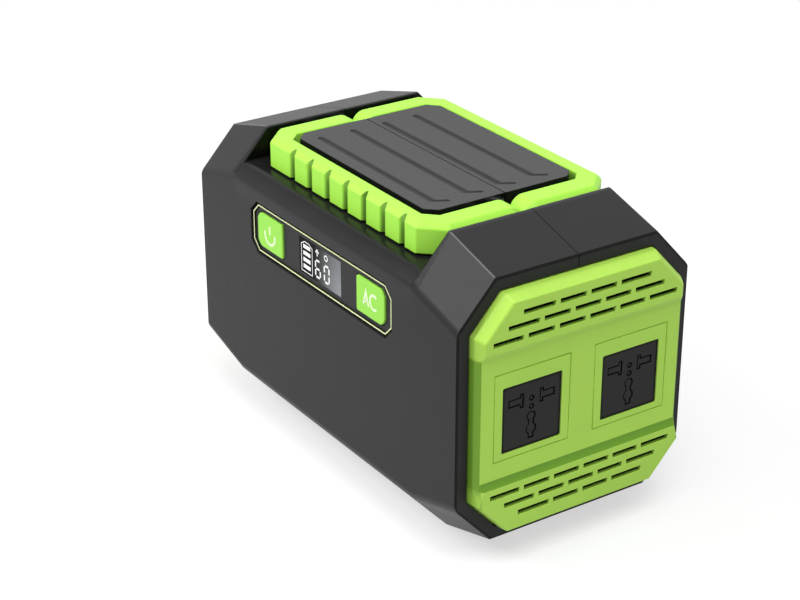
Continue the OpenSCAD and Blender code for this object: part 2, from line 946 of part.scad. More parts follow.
// Lower block of the end panel, where the bevel dies away towards the bottom
module panel_foot() {
  step = middle_h / 2 + middle_step;
  edge = rim_w + panel_low_bevel;
  base = octagon(side_y - rim_w, rim_hh - rim_w, cut_w(rim_w), cut_h(rim_w));
  face = octagon(side_y - edge, rim_hh - edge, cut_w(edge), cut_h(edge));
  base_y = side_y - rim_w;
  face_y = base_y - panel_bevel;
  hull() {
    outline_x([[base_y, -step], base[3], base[4], base[5], base[6], [-base_y, -step]],
              panel_flange_x, rim_x + panel_side);
    outline_x([[face_y, -step], face[3], face[4], face[5], face[6], [-face_y, -step]],
              panel_x - eps, panel_x);
  }
}

// End panel at the socket end, without its openings
module end_panel() {
  low = middle_h / 2;
  high = middle_h / 2 + middle_step;
  difference() {
    union() {
      hull() {
        slab(panel_flange_x - eps, rim_x + panel_side, rim_hh, rim_w);
        slab(panel_x - eps, panel_x, rim_hh, rim_w + panel_bevel);
      }
      panel_foot();
      slab(panel_back_x, panel_flange_x, rim_hh, rim_w - panel_flange_w);
    }
    translate([0, body_w, mid_z])
      rotate([90, 0, 0])
        linear_extrude(2 * body_w)
          polygon([
            [middle_x, -low], [panel_x, -high], [panel_x + over, -high],
            [panel_x + over, high], [panel_x, high], [middle_x, low]
          ]);
    slab(panel_back_x - over, plate_x, rim_hh, rim_w + panel_t);
    vent_rows(1);
    vent_rows(-1);
  }
}

// Square with round corners, across Y and Z, between two places along X
module socket_block(y, side, x0, x1) {
  half = side / 2 - socket_r;
  box_x(y, socket_z, side, side - 2 * socket_r, x0, x1);
  box_x(y, socket_z, side - 2 * socket_r, side, x0, x1);
  for (dy = [-half, half], dz = [-half, half])
    rod_x(y + dy, socket_z + dz, x0, x1, socket_r);
}

module socket_panel() {
  color("#9ad04e")
    difference() {
      end_panel();
      for (y = [-socket_y, socket_y]) {
        socket_block(y, socket_w + 2 * socket_fit, plate_x - over, middle_x + over);
        difference() {
          box_x(y, mid_z, outline_w, outline_h, middle_x - outline_cut, middle_x + over);
          box_x(y, mid_z, outline_w - 2 * outline_cut, outline_h - 2 * outline_cut, plate_x, panel_x);
        }
        for (corner = [-1, 1])
          rod_x(y + corner * socket_screw_out, socket_z + corner * socket_screw_out,
                plate_x - over, plate_x + socket_screw_in + hole_clear, screw_r + hole_clear);
      }
    }
}

// Slots of a universal socket, cut from its face
module socket_slots(y) {
  x0 = socket_face - slot_depth;
  x1 = socket_face + over;
  for (side = [-1, 1]) {
    live_w = live_out - blade_y;
    box_x(y + side * (blade_y + live_w / 2), socket_z + live_z, live_w, live_h, x0, x1);
    box_x(y + side * blade_y, socket_z + live_z, blade_w, blade_h, x0, x1);
  }
  rod_x(y, socket_z + earth_top_z, x0, x1, earth_r);
  rod_x(y, socket_z + earth_wide_z, x0, x1, earth_wide_r);
  box_x(y, socket_z + (earth_top_z + earth_foot_z) / 2, earth_foot_w, earth_top_z - earth_foot_z, x0, x1);
  for (z = [dot_low_z, live_z])
    rod_x(y, socket_z + z, x0 + slot_depth / 2, x1, dot_r);
}

// Places of the three contacts of a socket, across Y and Z
contact_spots = [[-11, live_z], [11, live_z], [0, earth_wide_z]];
contact_w = 5;

module ac_socket(y) {
  color("#2b2c2b")
    difference() {
      union() {
        socket_block(y, socket_w, plate_x - socket_flange_t, socket_face);
        socket_block(y, socket_flange_w, plate_x - socket_flange_t, plate_x);
        socket_block(y, socket_body_w, socket_back, plate_x - socket_flange_t);
      }
      socket_slots(y);
      for (spot = contact_spots)
        box_x(y + spot[0], socket_z + spot[1], contact_w + 2 * contact_fit, contact_w + 2 * contact_fit,
                socket_back - over, socket_face - slot_depth + over);
      for (corner = [-1, 1])
        rod_x(y + corner * socket_screw_out, socket_z + corner * socket_screw_out,
              plate_x - socket_flange_t - over, plate_x + over, screw_r + through_clear);
    }
}

module ac_socket_left() {
  ac_socket(-socket_y);
}

module ac_socket_right() {
  ac_socket(socket_y);
}

module socket_contacts() {
  front = socket_face - slot_depth;
  color("#c9a24a")
    for (y = [-socket_y, socket_y], spot = contact_spots)
      box_x(y + spot[0], socket_z + spot[1], contact_w, contact_w, front - contact_l, front);
}

module socket_screws() {
  seat = plate_x - socket_flange_t;
  color("#b0b0b0")
    for (y = [-socket_y, socket_y], corner = [-1, 1]) {
      cy = y + corner * socket_screw_out;
      cz = socket_z + corner * socket_screw_out;
      rod_x(cy, cz, seat, plate_x + socket_screw_in, screw_r);
      rod_x(cy, cz, seat - head_h, seat, head_r);
    }
}

// Port end, drawn at the socket end and mirrored

module port_panel() {
  fit = 0.2;
  color("#9ad04e")
    mirror([1, 0, 0])
      difference() {
        union() {
          end_panel();
          for (y = [-port_boss_y, port_boss_y], z = [-port_boss_z, port_boss_z])
            rod_x(y, port_mid + z, port_board_x, plate_x + over, port_boss_r);
          for (y = [-fan_pitch / 2, fan_pitch / 2], z = [-fan_pitch / 2, fan_pitch / 2])
            rod_x(y, fan_z + z, fan_x, plate_x + over, fan_boss_r);
        }
        for (z = [-usb_pitch / 2, usb_pitch / 2])
          box_x(usb_y, port_mid + z, usb_w + 2 * fit, usb_h + 2 * fit, plate_x - over, panel_x + over);
        for (y = dc_spots)
          rod_x(y, port_mid, plate_x - over, panel_x + over, dc_r + fit);
        rod_x(-inlet_y, port_mid, plate_x - over, panel_x + over, inlet_r + fit);
        for (y = [-port_boss_y, port_boss_y], z = [-port_boss_z, port_boss_z])
          rod_x(y, port_mid + z, port_board_x - over, plate_x - over, board_screw_r + hole_clear);
        for (y = [-fan_pitch / 2, fan_pitch / 2], z = [-fan_pitch / 2, fan_pitch / 2])
          rod_x(y, fan_z + z, fan_x - over, plate_x + fan_screw_in + over, fan_screw_r + hole_clear);
      }
}

module usb_ports() {
  shell_t = 0.7;
  tongue_t = 1.8;
  tongue_side = 2;
  tongue_w = usb_w - 2 * tongue_side;
  tongue_up = 1;
  usb_floor = 2;
  tongue_in = 5;
  x1 = middle_x - port_sink;
  color("#c4c4c4")
    mirror([1, 0, 0])
      for (z = [-usb_pitch / 2, usb_pitch / 2]) {
        difference() {
          box_x(usb_y, port_mid + z, usb_w, usb_h, port_board_x, x1);
          box_x(usb_y, port_mid + z, usb_w - 2 * shell_t, usb_h - 2 * shell_t,
                port_board_x + usb_floor, x1 + over);
        }
        box_x(usb_y, port_mid + z + tongue_up, tongue_w, tongue_t,
              port_board_x + over, port_board_x + tongue_in);
      }
}

// Round jack with a bore and a middle pin
module jack(y, outer_r, bore_r, core_r) {
  x1 = middle_x - port_sink;
  bore_depth = 11;
  core_sink = 2;
  difference() {
    rod_x(y, port_mid, port_board_x, x1, outer_r);
    rod_x(y, port_mid, x1 - bore_depth, x1 + over, bore_r);
  }
  rod_x(y, port_mid, x1 - bore_depth - over, x1 - core_sink, core_r);
}

module dc_jacks() {
  color("#202020")
    mirror([1, 0, 0])
      for (y = dc_spots)
        jack(y, dc_r, dc_bore_r, dc_core_r);
}

module charge_inlet() {
  color("#202020")
    mirror([1, 0, 0])
      jack(-inlet_y, inlet_r, inlet_bore_r, inlet_core_r);
}

module port_board() {
  color("#1d5a2c")
    mirror([1, 0, 0])
      difference() {
        box_x(0, port_mid, port_board_l, port_board_h, port_board_x - board_t, port_board_x);
        for (y = [-port_boss_y, port_boss_y], z = [-port_boss_z, port_boss_z])
          rod_x(y, port_mid + z, port_board_x - board_t - over, port_board_x + over,
                board_screw_r + through_clear);
      }
}

module port_screws() {
  seat = port_board_x - board_t;
  color("#b0b0b0")
    mirror([1, 0, 0])
      for (y = [-port_boss_y, port_boss_y], z = [-port_boss_z, port_boss_z]) {
        rod_x(y, port_mid + z, seat, plate_x - tip_gap, board_screw_r);
        rod_x(y, port_mid + z, seat - small_head_h, seat, small_head_r);
      }
}

// Fan

module fan_frame() {
  strut_w = 3;
  back = fan_x - fan_t;
  color("#26282a")
    mirror([1, 0, 0])
      difference() {
        union() {
          difference() {
            box_x(0, fan_z, fan_w, fan_w, back, fan_x);
            rod_x(0, fan_z, back - over, fan_x + over, fan_r);
          }
          rod_x(0, fan_z, back, back + fan_strut_t, hub_r);
          for (turn = [0, 90])
            translate([0, 0, fan_z])
              rotate([turn, 0, 0])
                box_x(0, 0, 2 * fan_r + over, strut_w, back, back + fan_strut_t);
          rod_x(0, fan_z, back, fan_x - shaft_short, shaft_r);
        }
        for (y = [-fan_pitch / 2, fan_pitch / 2], z = [-fan_pitch / 2, fan_pitch / 2])
          rod_x(y, fan_z + z, back - over, fan_x + over, fan_screw_r + through_clear);
      }
}

module fan_rotor() {
  run_clear = 0.08;
  end_clear = 0.6;
  blade_t = 1.2;
  x0 = fan_x - fan_t + fan_strut_t + end_clear;
  x1 = fan_x - rotor_short;
  pitch_angle = 35;
  color("#1c1d1f")
    mirror([1, 0, 0])
      difference() {
        union() {
          rod_x(0, fan_z, x0, x1, hub_r);
          intersection() {
            rod_x(0, fan_z, x0, x1, fan_r - blade_gap);
            for (i = [0:blade_count - 1])
              translate([(x0 + x1) / 2, 0, fan_z])
                rotate([i * 360 / blade_count, 0, 0])
                  rotate([0, 0, pitch_angle])
                    translate([-fan_t, -blade_t / 2, hub_r - over])
                      cube([2 * fan_t, blade_t, fan_r]);
          }
        }
        rod_x(0, fan_z, x0 - over, x1 - hub_cap, shaft_r + run_clear);
      }
}

module fan_screws() {
  fan_head_r = 2.6;
  fan_head_h = 2;
  back = fan_x - fan_t;
  color("#b0b0b0")
    mirror([1, 0, 0])
      for (y = [-fan_pitch / 2, fan_pitch / 2], z = [-fan_pitch / 2, fan_pitch / 2]) {
        rod_x(y, fan_z + z, back, plate_x + fan_screw_in, fan_screw_r);
        rod_x(y, fan_z + z, back - fan_head_h, back, fan_head_r);
      }
}

// Battery

// Places of the cells across X and Y
cell_spots = [
  for (i = [0:cells_x - 1], j = [0:cells_y - 1])
    [(i - (cells_x - 1) / 2) * cell_pitch, (j - (cells_y - 1) / 2) * cell_pitch]
];
strap_rows = [for (j = [0:cells_y - 1]) (j - (cells_y - 1) / 2) * cell_pitch];
strap_l = (cells_x - 1) * cell_pitch + strap_w;

module battery_cells() {
  color("#3f6fb0")
    for (spot = cell_spots)
      translate([spot[0], spot[1], cell_bottom])
        cylinder(h = cell_h, r = cell_r);
}

// Bores for the cells between two heights
module cell_bores(low, high) {
  for (spot = cell_spots)
    translate([spot[0], spot[1], low])
      cylinder(h = high - low, r = cell_r + holder_cell_gap);
}

module cell_holder_lower() {
  color("#2f3133")
    difference() {
      translate([-holder_l / 2, -holder_w / 2, holder_low])
        cube([holder_l, holder_w, holder_t]);
      cell_bores(cell_bottom, holder_low + holder_t + over);
      for (y = strap_rows)
        translate([-strap_l / 2 - strap_fit, y - strap_w / 2 - strap_fit, cell_bottom - strap_t])
          cube([strap_l + 2 * strap_fit, strap_w + 2 * strap_fit, holder_t + 2 * over]);
    }
}

module cell_holder_upper() {
  color("#2f3133")
    difference() {
      union() {
        translate([-holder_l / 2, -board_reach / 2, cell_top - holder_t])
          cube([holder_l, board_reach, holder_t]);
        for (x = [-bms_post_x, bms_post_x], y = [-bms_post_y, bms_post_y])
          translate([x, y, cell_top - over])
            cylinder(h = bms_z - cell_top + over, r = bms_post_r);
      }
      cell_bores(cell_top - holder_t - over, cell_top + eps);
      for (x = [-bms_post_x, bms_post_x], y = [-bms_post_y, bms_post_y])
        translate([x, y, cell_top - 2 * over])
          cylinder(h = bms_z - cell_top + 3 * over, r = board_screw_r + hole_clear);
    }
}

module cell_straps() {
  color("#c8c8c0")
    for (y = strap_rows, low = [cell_bottom - strap_t, cell_top])
      translate([-strap_l / 2, y - strap_w / 2, low])
        cube([strap_l, strap_w, strap_t]);
}

module bms_board() {
  color("#1d5a2c")
    difference() {
      translate([-bms_l / 2, -bms_w / 2, bms_z])
        cube([bms_l, bms_w, board_t]);
      for (x = [-bms_post_x, bms_post_x], y = [-bms_post_y, bms_post_y])
        translate([x, y, bms_z - over])
          cylinder(h = board_t + 2 * over, r = board_screw_r + through_clear);
    }
}

module bms_screws() {
  seat = bms_z + board_t;
  color("#b0b0b0")
    for (x = [-bms_post_x, bms_post_x], y = [-bms_post_y, bms_post_y]) {
      translate([x, y, cell_top - over])
        cylinder(h = seat - cell_top + over, r = board_screw_r);
      translate([x, y, seat])
        cylinder(h = small_head_h, r = small_head_r);
    }
}

// Inverter

module inverter_board() {
  color("#1d5a2c")
    translate([-inverter_l / 2, -board_reach / 2, inverter_low])
      cube([inverter_l, board_reach, board_t]);
}

module heat_sink() {
  color("#b9bcc0")
    translate([-sink_l / 2, sink_y - sink_w / 2, inverter_top]) {
      cube([sink_l, sink_w, sink_base_t]);
      for (i = [0:fin_count - 1])
        translate([0, i * (sink_w - fin_t) / (fin_count - 1), 0])
          cube([sink_l, fin_t, sink_h]);
    }
}

// Window between the middle leg and an outer leg of the core
core_window = core_l / 2 - 2 * core_leg;
window_h = core_h - 2 * core_yoke;

module transformer_core() {
  color("#3b3b3d")
    translate([core_x - core_l / 2, core_y - core_w / 2, inverter_top])
      difference() {
        cube([core_l, core_w, core_h]);
        for (x = [core_leg, core_l - core_leg - core_window])
          translate([x, -over, core_yoke])
            cube([core_window, core_w + 2 * over, window_h]);
      }
}

module transformer_coil() {
  inner_x = core_leg + coil_gap;
  outer_x = core_leg + core_window - coil_gap;
  inner_y = core_w / 2 + coil_gap;
  outer_y = core_w / 2 + coil_out;
  height = window_h - 2 * coil_gap;
  color("#c98a3a")
    translate([core_x, core_y, inverter_top + core_yoke + coil_gap])
      difference() {
        translate([-outer_x, -outer_y, 0])
          cube([2 * outer_x, 2 * outer_y, height]);
        translate([-inner_x, -inner_y, -over])
          cube([2 * inner_x, 2 * inner_y, height + 2 * over]);
      }
}

cap_spots = [[40, -40], [40, -20], [60, -40], [60, -20]];

module capacitors() {
  color("#26303c")
    for (spot = cap_spots)
      translate([spot[0], spot[1], inverter_top])
        cylinder(h = cap_h, r = cap_r);
}

front_shell();
back_shell();
socket_panel();
port_panel();
front_handle();
back_handle();
front_hinge_pins();
back_hinge_pins();
control_bezel();
bezel_trim();
display_lens();
display_module();
power_button();
ac_button();
control_switches();
control_board();
board_screws();
ac_socket_left();
ac_socket_right();
socket_contacts();
socket_screws();
usb_ports();
dc_jacks();
charge_inlet();
port_board();
port_screws();
fan_frame();
fan_rotor();
fan_screws();
battery_cells();
cell_holder_lower();
cell_holder_upper();
cell_straps();
bms_board();
bms_screws();
inverter_board();
heat_sink();
transformer_core();
transformer_coil();
capacitors();
case_screws();
rubber_feet();
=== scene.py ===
# Portable power station: finishes, softened pieces and studio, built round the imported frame.
# Metres, +Z up, +X towards the AC socket end, -Y towards the controls.
import json
import math

import bmesh
import bpy
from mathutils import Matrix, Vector
from mathutils.bvhtree import BVHTree


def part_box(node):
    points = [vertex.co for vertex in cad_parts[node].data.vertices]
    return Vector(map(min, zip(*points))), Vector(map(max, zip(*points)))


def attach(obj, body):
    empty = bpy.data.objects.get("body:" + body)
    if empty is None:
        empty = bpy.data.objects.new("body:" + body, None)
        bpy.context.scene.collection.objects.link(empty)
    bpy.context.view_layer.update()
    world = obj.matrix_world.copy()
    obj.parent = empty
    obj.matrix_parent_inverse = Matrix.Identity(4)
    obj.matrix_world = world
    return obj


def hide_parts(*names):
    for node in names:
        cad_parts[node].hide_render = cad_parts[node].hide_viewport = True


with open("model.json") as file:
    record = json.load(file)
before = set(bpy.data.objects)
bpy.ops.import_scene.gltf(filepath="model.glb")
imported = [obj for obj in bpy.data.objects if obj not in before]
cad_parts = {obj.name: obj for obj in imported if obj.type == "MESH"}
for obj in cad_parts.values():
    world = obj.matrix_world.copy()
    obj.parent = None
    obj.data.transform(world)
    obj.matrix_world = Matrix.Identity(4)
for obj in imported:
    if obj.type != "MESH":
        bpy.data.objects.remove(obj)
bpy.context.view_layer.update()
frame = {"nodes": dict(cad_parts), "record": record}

MM = 0.001

# Places read from the frame
SHELL_LOW, SHELL_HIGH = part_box("front_shell")
RIM_X = SHELL_HIGH.x
FRONT_Y = SHELL_LOW.y
PAD_Z = SHELL_HIGH.z
PANEL_LOW, PANEL_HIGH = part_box("socket_panel")
PANEL_FACE_X = PANEL_HIGH.x
PANEL_MID = (PANEL_LOW.z + PANEL_HIGH.z) / 2
LENS_LOW, LENS_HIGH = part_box("display_lens")
LENS_MID = (LENS_LOW + LENS_HIGH) / 2
TRIM_LOW, TRIM_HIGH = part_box("bezel_trim")
TRIM_HALF_X = TRIM_HIGH.x
TRIM_HALF_Z = (TRIM_HIGH.z - TRIM_LOW.z) / 2
PORT_FACE_X = -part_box("usb_ports")[0].x
SOCKET_FACE_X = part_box("ac_socket_left")[1].x
HANDLE_LOW, HANDLE_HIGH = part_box("front_handle")
HANDLE_OUT = max(abs(HANDLE_LOW.y), abs(HANDLE_HIGH.y))

# Places that the frame doesn't hold, as in the part's source: the handles, their recess and the
# ridges at its ends, the pad and its grooves, the end panels, the sockets and the bezel's opening
PIVOT = Vector((0, 8.7 * MM, (HANDLE_LOW.z + HANDLE_HIGH.z) / 2))
GRIP_X = 70.0 * MM
FLOOR_Z = HANDLE_LOW.z - 1.0 * MM
ROLL_LOW_Z = FLOOR_Z - 10.0 * MM
RECESS_X = 89.5 * MM
RIDGE_X, RIDGE_Y, RIDGE_Z = 91.0 * MM, 52.0 * MM, PAD_Z - 1.0 * MM
RIDGE_LOW_Z = RIDGE_Z - 25.0 * MM
GROOVE_X, GROOVE_Y = 63.0 * MM, 42.0 * MM
PAD_GROOVE_SHIFT, PAD_GROOVE_PITCH, PAD_GROOVE_HALF = -5.8 * MM, 21.5 * MM, 55.0 * MM
MIDDLE_X, MIDDLE_HALF = PANEL_FACE_X - 2.5 * MM, 34.8 * MM
STEP_HALF = 38.7 * MM
PANEL_SIDE_Y, PANEL_HALF, PANEL_SLANT = 67.0 * MM, 67.5 * MM, 108.0 * MM
SOCKET_Y, SOCKET_Z = 32.2 * MM, PANEL_MID - 2.4 * MM
SOCKET_HALF, SOCKET_CORNER = 18.8 * MM, 3.0 * MM
BEZEL_X, BEZEL_Z = 76.0 * MM, 19.0 * MM

# Places that two sections share: the shutters behind the sockets' face, and the trim's face
SHUTTER_DEPTH = 0.3 * MM
TRIM_FACE_Y = FRONT_Y + 0.8 * MM


# Shader nodes

def feed(tree, socket, value):
    """Links a socket to a node's output, or sets it to a plain value."""
    if isinstance(value, bpy.types.Node):
        value = value.outputs[0]
    if isinstance(value, bpy.types.NodeSocket):
        tree.links.new(value, socket)
    else:
        socket.default_value = value


def add_node(tree, kind, inputs=None, **settings):
    """A node with its settings made, and its inputs fed by name or number."""
    node = tree.nodes.new(kind)
    for name, value in settings.items():
        setattr(node, name, value)
    for key, value in (inputs or {}).items():
        feed(tree, node.inputs[key], value)
    return node


def srgb(code):
    """Linear colour of a written one, such as 8fe23c."""
    parts = [int(code[i:i + 2], 16) / 255 for i in (0, 2, 4)]
    linear = [p / 12.92 if p <= 0.04045 else ((p + 0.055) / 1.055) ** 2.4 for p in parts]
    return (*linear, 1.0)


def shade(colour, factor):
    """A colour made darker or lighter."""
    return (*[min(1.0, c * factor) for c in colour[:3]], 1.0)


CLOUD_SCALE = 45.0
GRAIN_SCALE = 1900.0
MARK_SCALE = 900.0
NOISE_SPAN = (0.3, 0.7)


class Finish:
    """A material being made: a Principled shader, and short calls for the nodes that feed it."""

    def __init__(self, slot):
        self.slot = slot
        self.material = bpy.data.materials.new(slot)
        self.material.use_nodes = True
        self.tree = self.material.node_tree
        self.shader = self.tree.nodes["Principled BSDF"]
        self.place = self.add("ShaderNodeTexCoord").outputs["Object"]
        self.x, self.y, self.z = self.add("ShaderNodeSeparateXYZ", {0: self.place}).outputs

    def add(self, kind, inputs=None, **settings):
        return add_node(self.tree, kind, inputs, **settings)

    def set(self, name, value):
        feed(self.tree, self.shader.inputs[name], value)

    def math(self, operation, a, b=0.0):
        return self.add("ShaderNodeMath", {0: a, 1: b}, operation=operation).outputs[0]

    def less(self, a, b):
        return self.math("SUBTRACT", a, b)

    def all_of(self, operation, values):
        """One operation on all the values in turn."""
        whole = values[0]
        for value in values[1:]:
            whole = self.math(operation, whole, value)
        return whole

    def both(self, *masks):
        """Where all the masks are; a number makes them weaker."""
        return self.all_of("MULTIPLY", masks)

    def most(self, *values):
        return self.all_of("MAXIMUM", values)

    def least(self, *values):
        return self.all_of("MINIMUM", values)

    def away(self, axis, middle=0.0):
        """Distance from a plane across an axis."""
        return self.math("ABSOLUTE", self.less(axis, middle))

    def from_row(self, value, pitch):
        """Distance from the nearest of a row of planes, of which the first is half a pitch away."""
        return self.away(self.math("FLOORED_MODULO", value, pitch), pitch / 2)

    def ramp(self, value, low, high, start=0.0, end=1.0):
        """A value between two limits, spread smoothly from start to end."""
        inputs = dict(enumerate((value, low, high, start, end)))
        return self.add("ShaderNodeMapRange", inputs, interpolation_type="SMOOTHSTEP").outputs[0]

    def band(self, value, rise, fall):
        """Where a value is between two limits, each of them a ramp."""
        return self.both(self.ramp(value, *rise), self.ramp(value, *fall))

    def noise(self, scale, detail=2.0, stretch=(1, 1, 1)):
        spread = self.add("ShaderNodeMapping", {"Vector": self.place, "Scale": stretch})
        inputs = {"Vector": spread, "Scale": scale, "Detail": detail}
        return self.add("ShaderNodeTexNoise", inputs).outputs["Fac"]

    def cloud(self):
        """A slow change of tone."""
        return self.noise(CLOUD_SCALE, 4.0)

    def grit(self, coarser=1.0):
        """The fine grain of a spark-eroded mould."""
        return self.noise(GRAIN_SCALE / coarser, 3.0)

    def between(self, noise, low, high):
        """A noise as a number between two limits."""
        return self.ramp(noise, *NOISE_SPAN, low, high)

    def mix(self, share, a, b):
        """One colour turning into another."""
        return self.add("ShaderNodeMix", {0: share, 6: a, 7: b}, data_type="RGBA").outputs[2]

    def blend(self, share, a, b):
        """One number turning into another."""
        return self.add("ShaderNodeMix", {0: share, 2: a, 3: b}, data_type="FLOAT").outputs[0]

    def vary(self, share, colour, darker, lighter):
        """A colour that a noise makes darker and lighter."""
        return self.mix(share, shade(colour, darker), shade(colour, lighter))

    def bump(self, height, depth):
        self.set("Normal", self.add("ShaderNodeBump", {"Distance": depth, "Height": height}))

    def surface(self, grit, roughness, specular, depth):
        """A roughness between two limits and a bump, both from one grain, and the reflection."""
        self.set("Roughness", self.between(grit, *roughness))
        self.set("Specular IOR Level", specular)
        self.bump(grit, depth)


# Finishes

SHELL_TONE = srgb("262627")
PAD_TONE = srgb("4a4a4b")
# Tone of the dark seam and of the painted shade in lines, strips and the handle recess
DARK_TONE = srgb("0a0a0a")
# Tone of the painted highlights on the ridges' edges
HIGHLIGHT_TONE = srgb("626263")
LINE_TONE = srgb("1c2a0a")
SHELL_SPECULAR = 0.13
FINE_GRAIN = 0.012 * MM


def plastic(name, colour, roughness, grain=0.02 * MM, cloud=0.05, specular=0.3):
    """Moulded plastic: a cloudy tone, a fine grain and a roughness that follows it."""
    finish = Finish(name)
    finish.set("Base Color", finish.vary(finish.cloud(), colour, 1 - cloud, 1 + cloud))
    finish.surface(finish.grit(), (roughness - 0.06, roughness + 0.06), specular, grain)
    return finish


def work_metal(finish, marks, colour, roughness):
    """Makes a finish a metal with fine marks."""
    finish.set("Metallic", 1.0)
    finish.set("Base Color", colour)
    finish.set("Roughness", finish.between(marks, *roughness))
    finish.bump(marks, 0.01 * MM)
    return finish


def metal(name, colour, roughness, stretch=(1, 1, 1)):
    """Worked metal with fine marks along the stretched direction."""
    finish = Finish(name)
    marks = finish.noise(MARK_SCALE, 3.0, stretch)
    tone = finish.vary(marks, colour, 0.85, 1.1)
    return work_metal(finish, marks, tone, (roughness - 0.08, roughness + 0.1))


def port_finish():
    """Steel of the low-voltage ports, dark inside."""
    finish = Finish("port_steel")
    marks = finish.noise(MARK_SCALE, 3.0, (0.2, 1, 1))
    inside = finish.ramp(finish.away(finish.x), PORT_FACE_X - 0.3 * MM, PORT_FACE_X - 1.5 * MM)
    steel = finish.mix(marks, srgb("a6a8aa"), srgb("cdcfd1"))
    return work_metal(finish, marks, finish.mix(inside, steel, srgb("141518")), (0.2, 0.38))


# Width and lean of the painted shade strip beside the recess's ends
RECESS_SHADE_WIDE, RECESS_SHADE_LEAN = 1.9 * MM, 0.12
RIM_HALF, RIM_LINE = 75.5 * MM, 1.2 * MM
SLANT_Y, SLANT_Z, SLANT_REACH = 0.736, 0.677, 89.4 * MM
UNDER_Z = 26.0 * MM


def groove_shade_mask(finish, along, across, below_pad):
    """Painted shade of the pad's grooves: all of them down inside, and the rounded edges of their
    straight runs.
    """
    over_floor = finish.ramp(finish.z, PAD_Z - 1.4 * MM, PAD_Z - 1.1 * MM)
    down = finish.both(
        below_pad,
        finish.ramp(along, GROOVE_X + 0.5 * MM, GROOVE_X),
        finish.ramp(across, GROOVE_Y + 0.5 * MM, GROOVE_Y),
    )
    row = finish.less(finish.y, PAD_GROOVE_SHIFT)
    runs = finish.both(
        finish.ramp(finish.from_row(row, PAD_GROOVE_PITCH), 2.6 * MM, 1.8 * MM),
        finish.ramp(finish.away(row), 2.0 * PAD_GROOVE_PITCH, 1.9 * PAD_GROOVE_PITCH),
        finish.ramp(along, PAD_GROOVE_HALF + 1.0 * MM, PAD_GROOVE_HALF),
    )
    return finish.both(finish.most(down, runs), over_floor)


def line_mask(finish, along, across):
    """Dark lines: painted shade along the ends' outer edges and round the rim faces, a painted
    shade strip beside the recess's ends, and the dark seam.
    """
    # Painted shade on the body just inside each rim edge
    edge = finish.band(
        along,
        (RIM_X - 0.9 * MM, RIM_X - 0.6 * MM),
        (RIM_X - 0.05 * MM, RIM_X - 0.2 * MM),
    )
    height = finish.away(finish.z, PANEL_MID)
    slant = finish.math("ADD", finish.both(across, SLANT_Y), finish.both(height, SLANT_Z))
    inset = finish.least(
        finish.less(-FRONT_Y, across),
        finish.less(RIM_HALF, height),
        finish.less(SLANT_REACH, slant),
    )
    # Painted shade line on the rim face, set in from its outline
    rim = finish.both(
        finish.ramp(along, RIM_X - 0.5 * MM, RIM_X - 0.2 * MM),
        finish.ramp(inset, RIM_LINE + 0.3 * MM, RIM_LINE),
    )
    drop = finish.less(RIDGE_Z, finish.z)
    lowest = RIDGE_Z - RIDGE_LOW_Z
    from_recess = finish.less(along, finish.both(drop, RECESS_SHADE_LEAN))
    # Painted shade strip on the ridges beside the recess's ends, growing wider downwards
    recess_end_shade = finish.both(
        finish.ramp(along, RECESS_X - 0.2 * MM, RECESS_X),
        finish.ramp(from_recess, RECESS_X + RECESS_SHADE_WIDE + 0.7 * MM, RECESS_X + RECESS_SHADE_WIDE),
        finish.band(drop, (0.6 * MM, 1.2 * MM), (lowest + 0.5 * MM, lowest - 2.0 * MM)),
    )
    seam = finish.ramp(across, 0.4 * MM, 0.25 * MM)
    return finish.most(edge, rim, recess_end_shade, finish.both(seam, 0.9))


def painted_highlight_mask(finish, along, across):
    """Painted highlights: the ridges' crests, slightly, and the edges that run from them to the
    ends.
    """
    crest = finish.both(
        finish.ramp(finish.z, RIDGE_Z - 1.2 * MM, RIDGE_Z - 0.4 * MM),
        finish.band(along, (RECESS_X - 0.3 * MM, RECESS_X), (RIDGE_X + 2.4 * MM, RIDGE_X)),
    )
    run = finish.both(
        finish.ramp(finish.away(across, RIDGE_Y), 0.55 * MM, 0.15 * MM),
        finish.band(along, (RIDGE_X, RIDGE_X + 1.0 * MM), (RIM_X - 0.8 * MM, RIM_X - 1.2 * MM)),
        finish.ramp(finish.z, FLOOR_Z - 6 * MM, FLOOR_Z - 4 * MM),
    )
    return finish.most(finish.both(crest, 0.15), run)


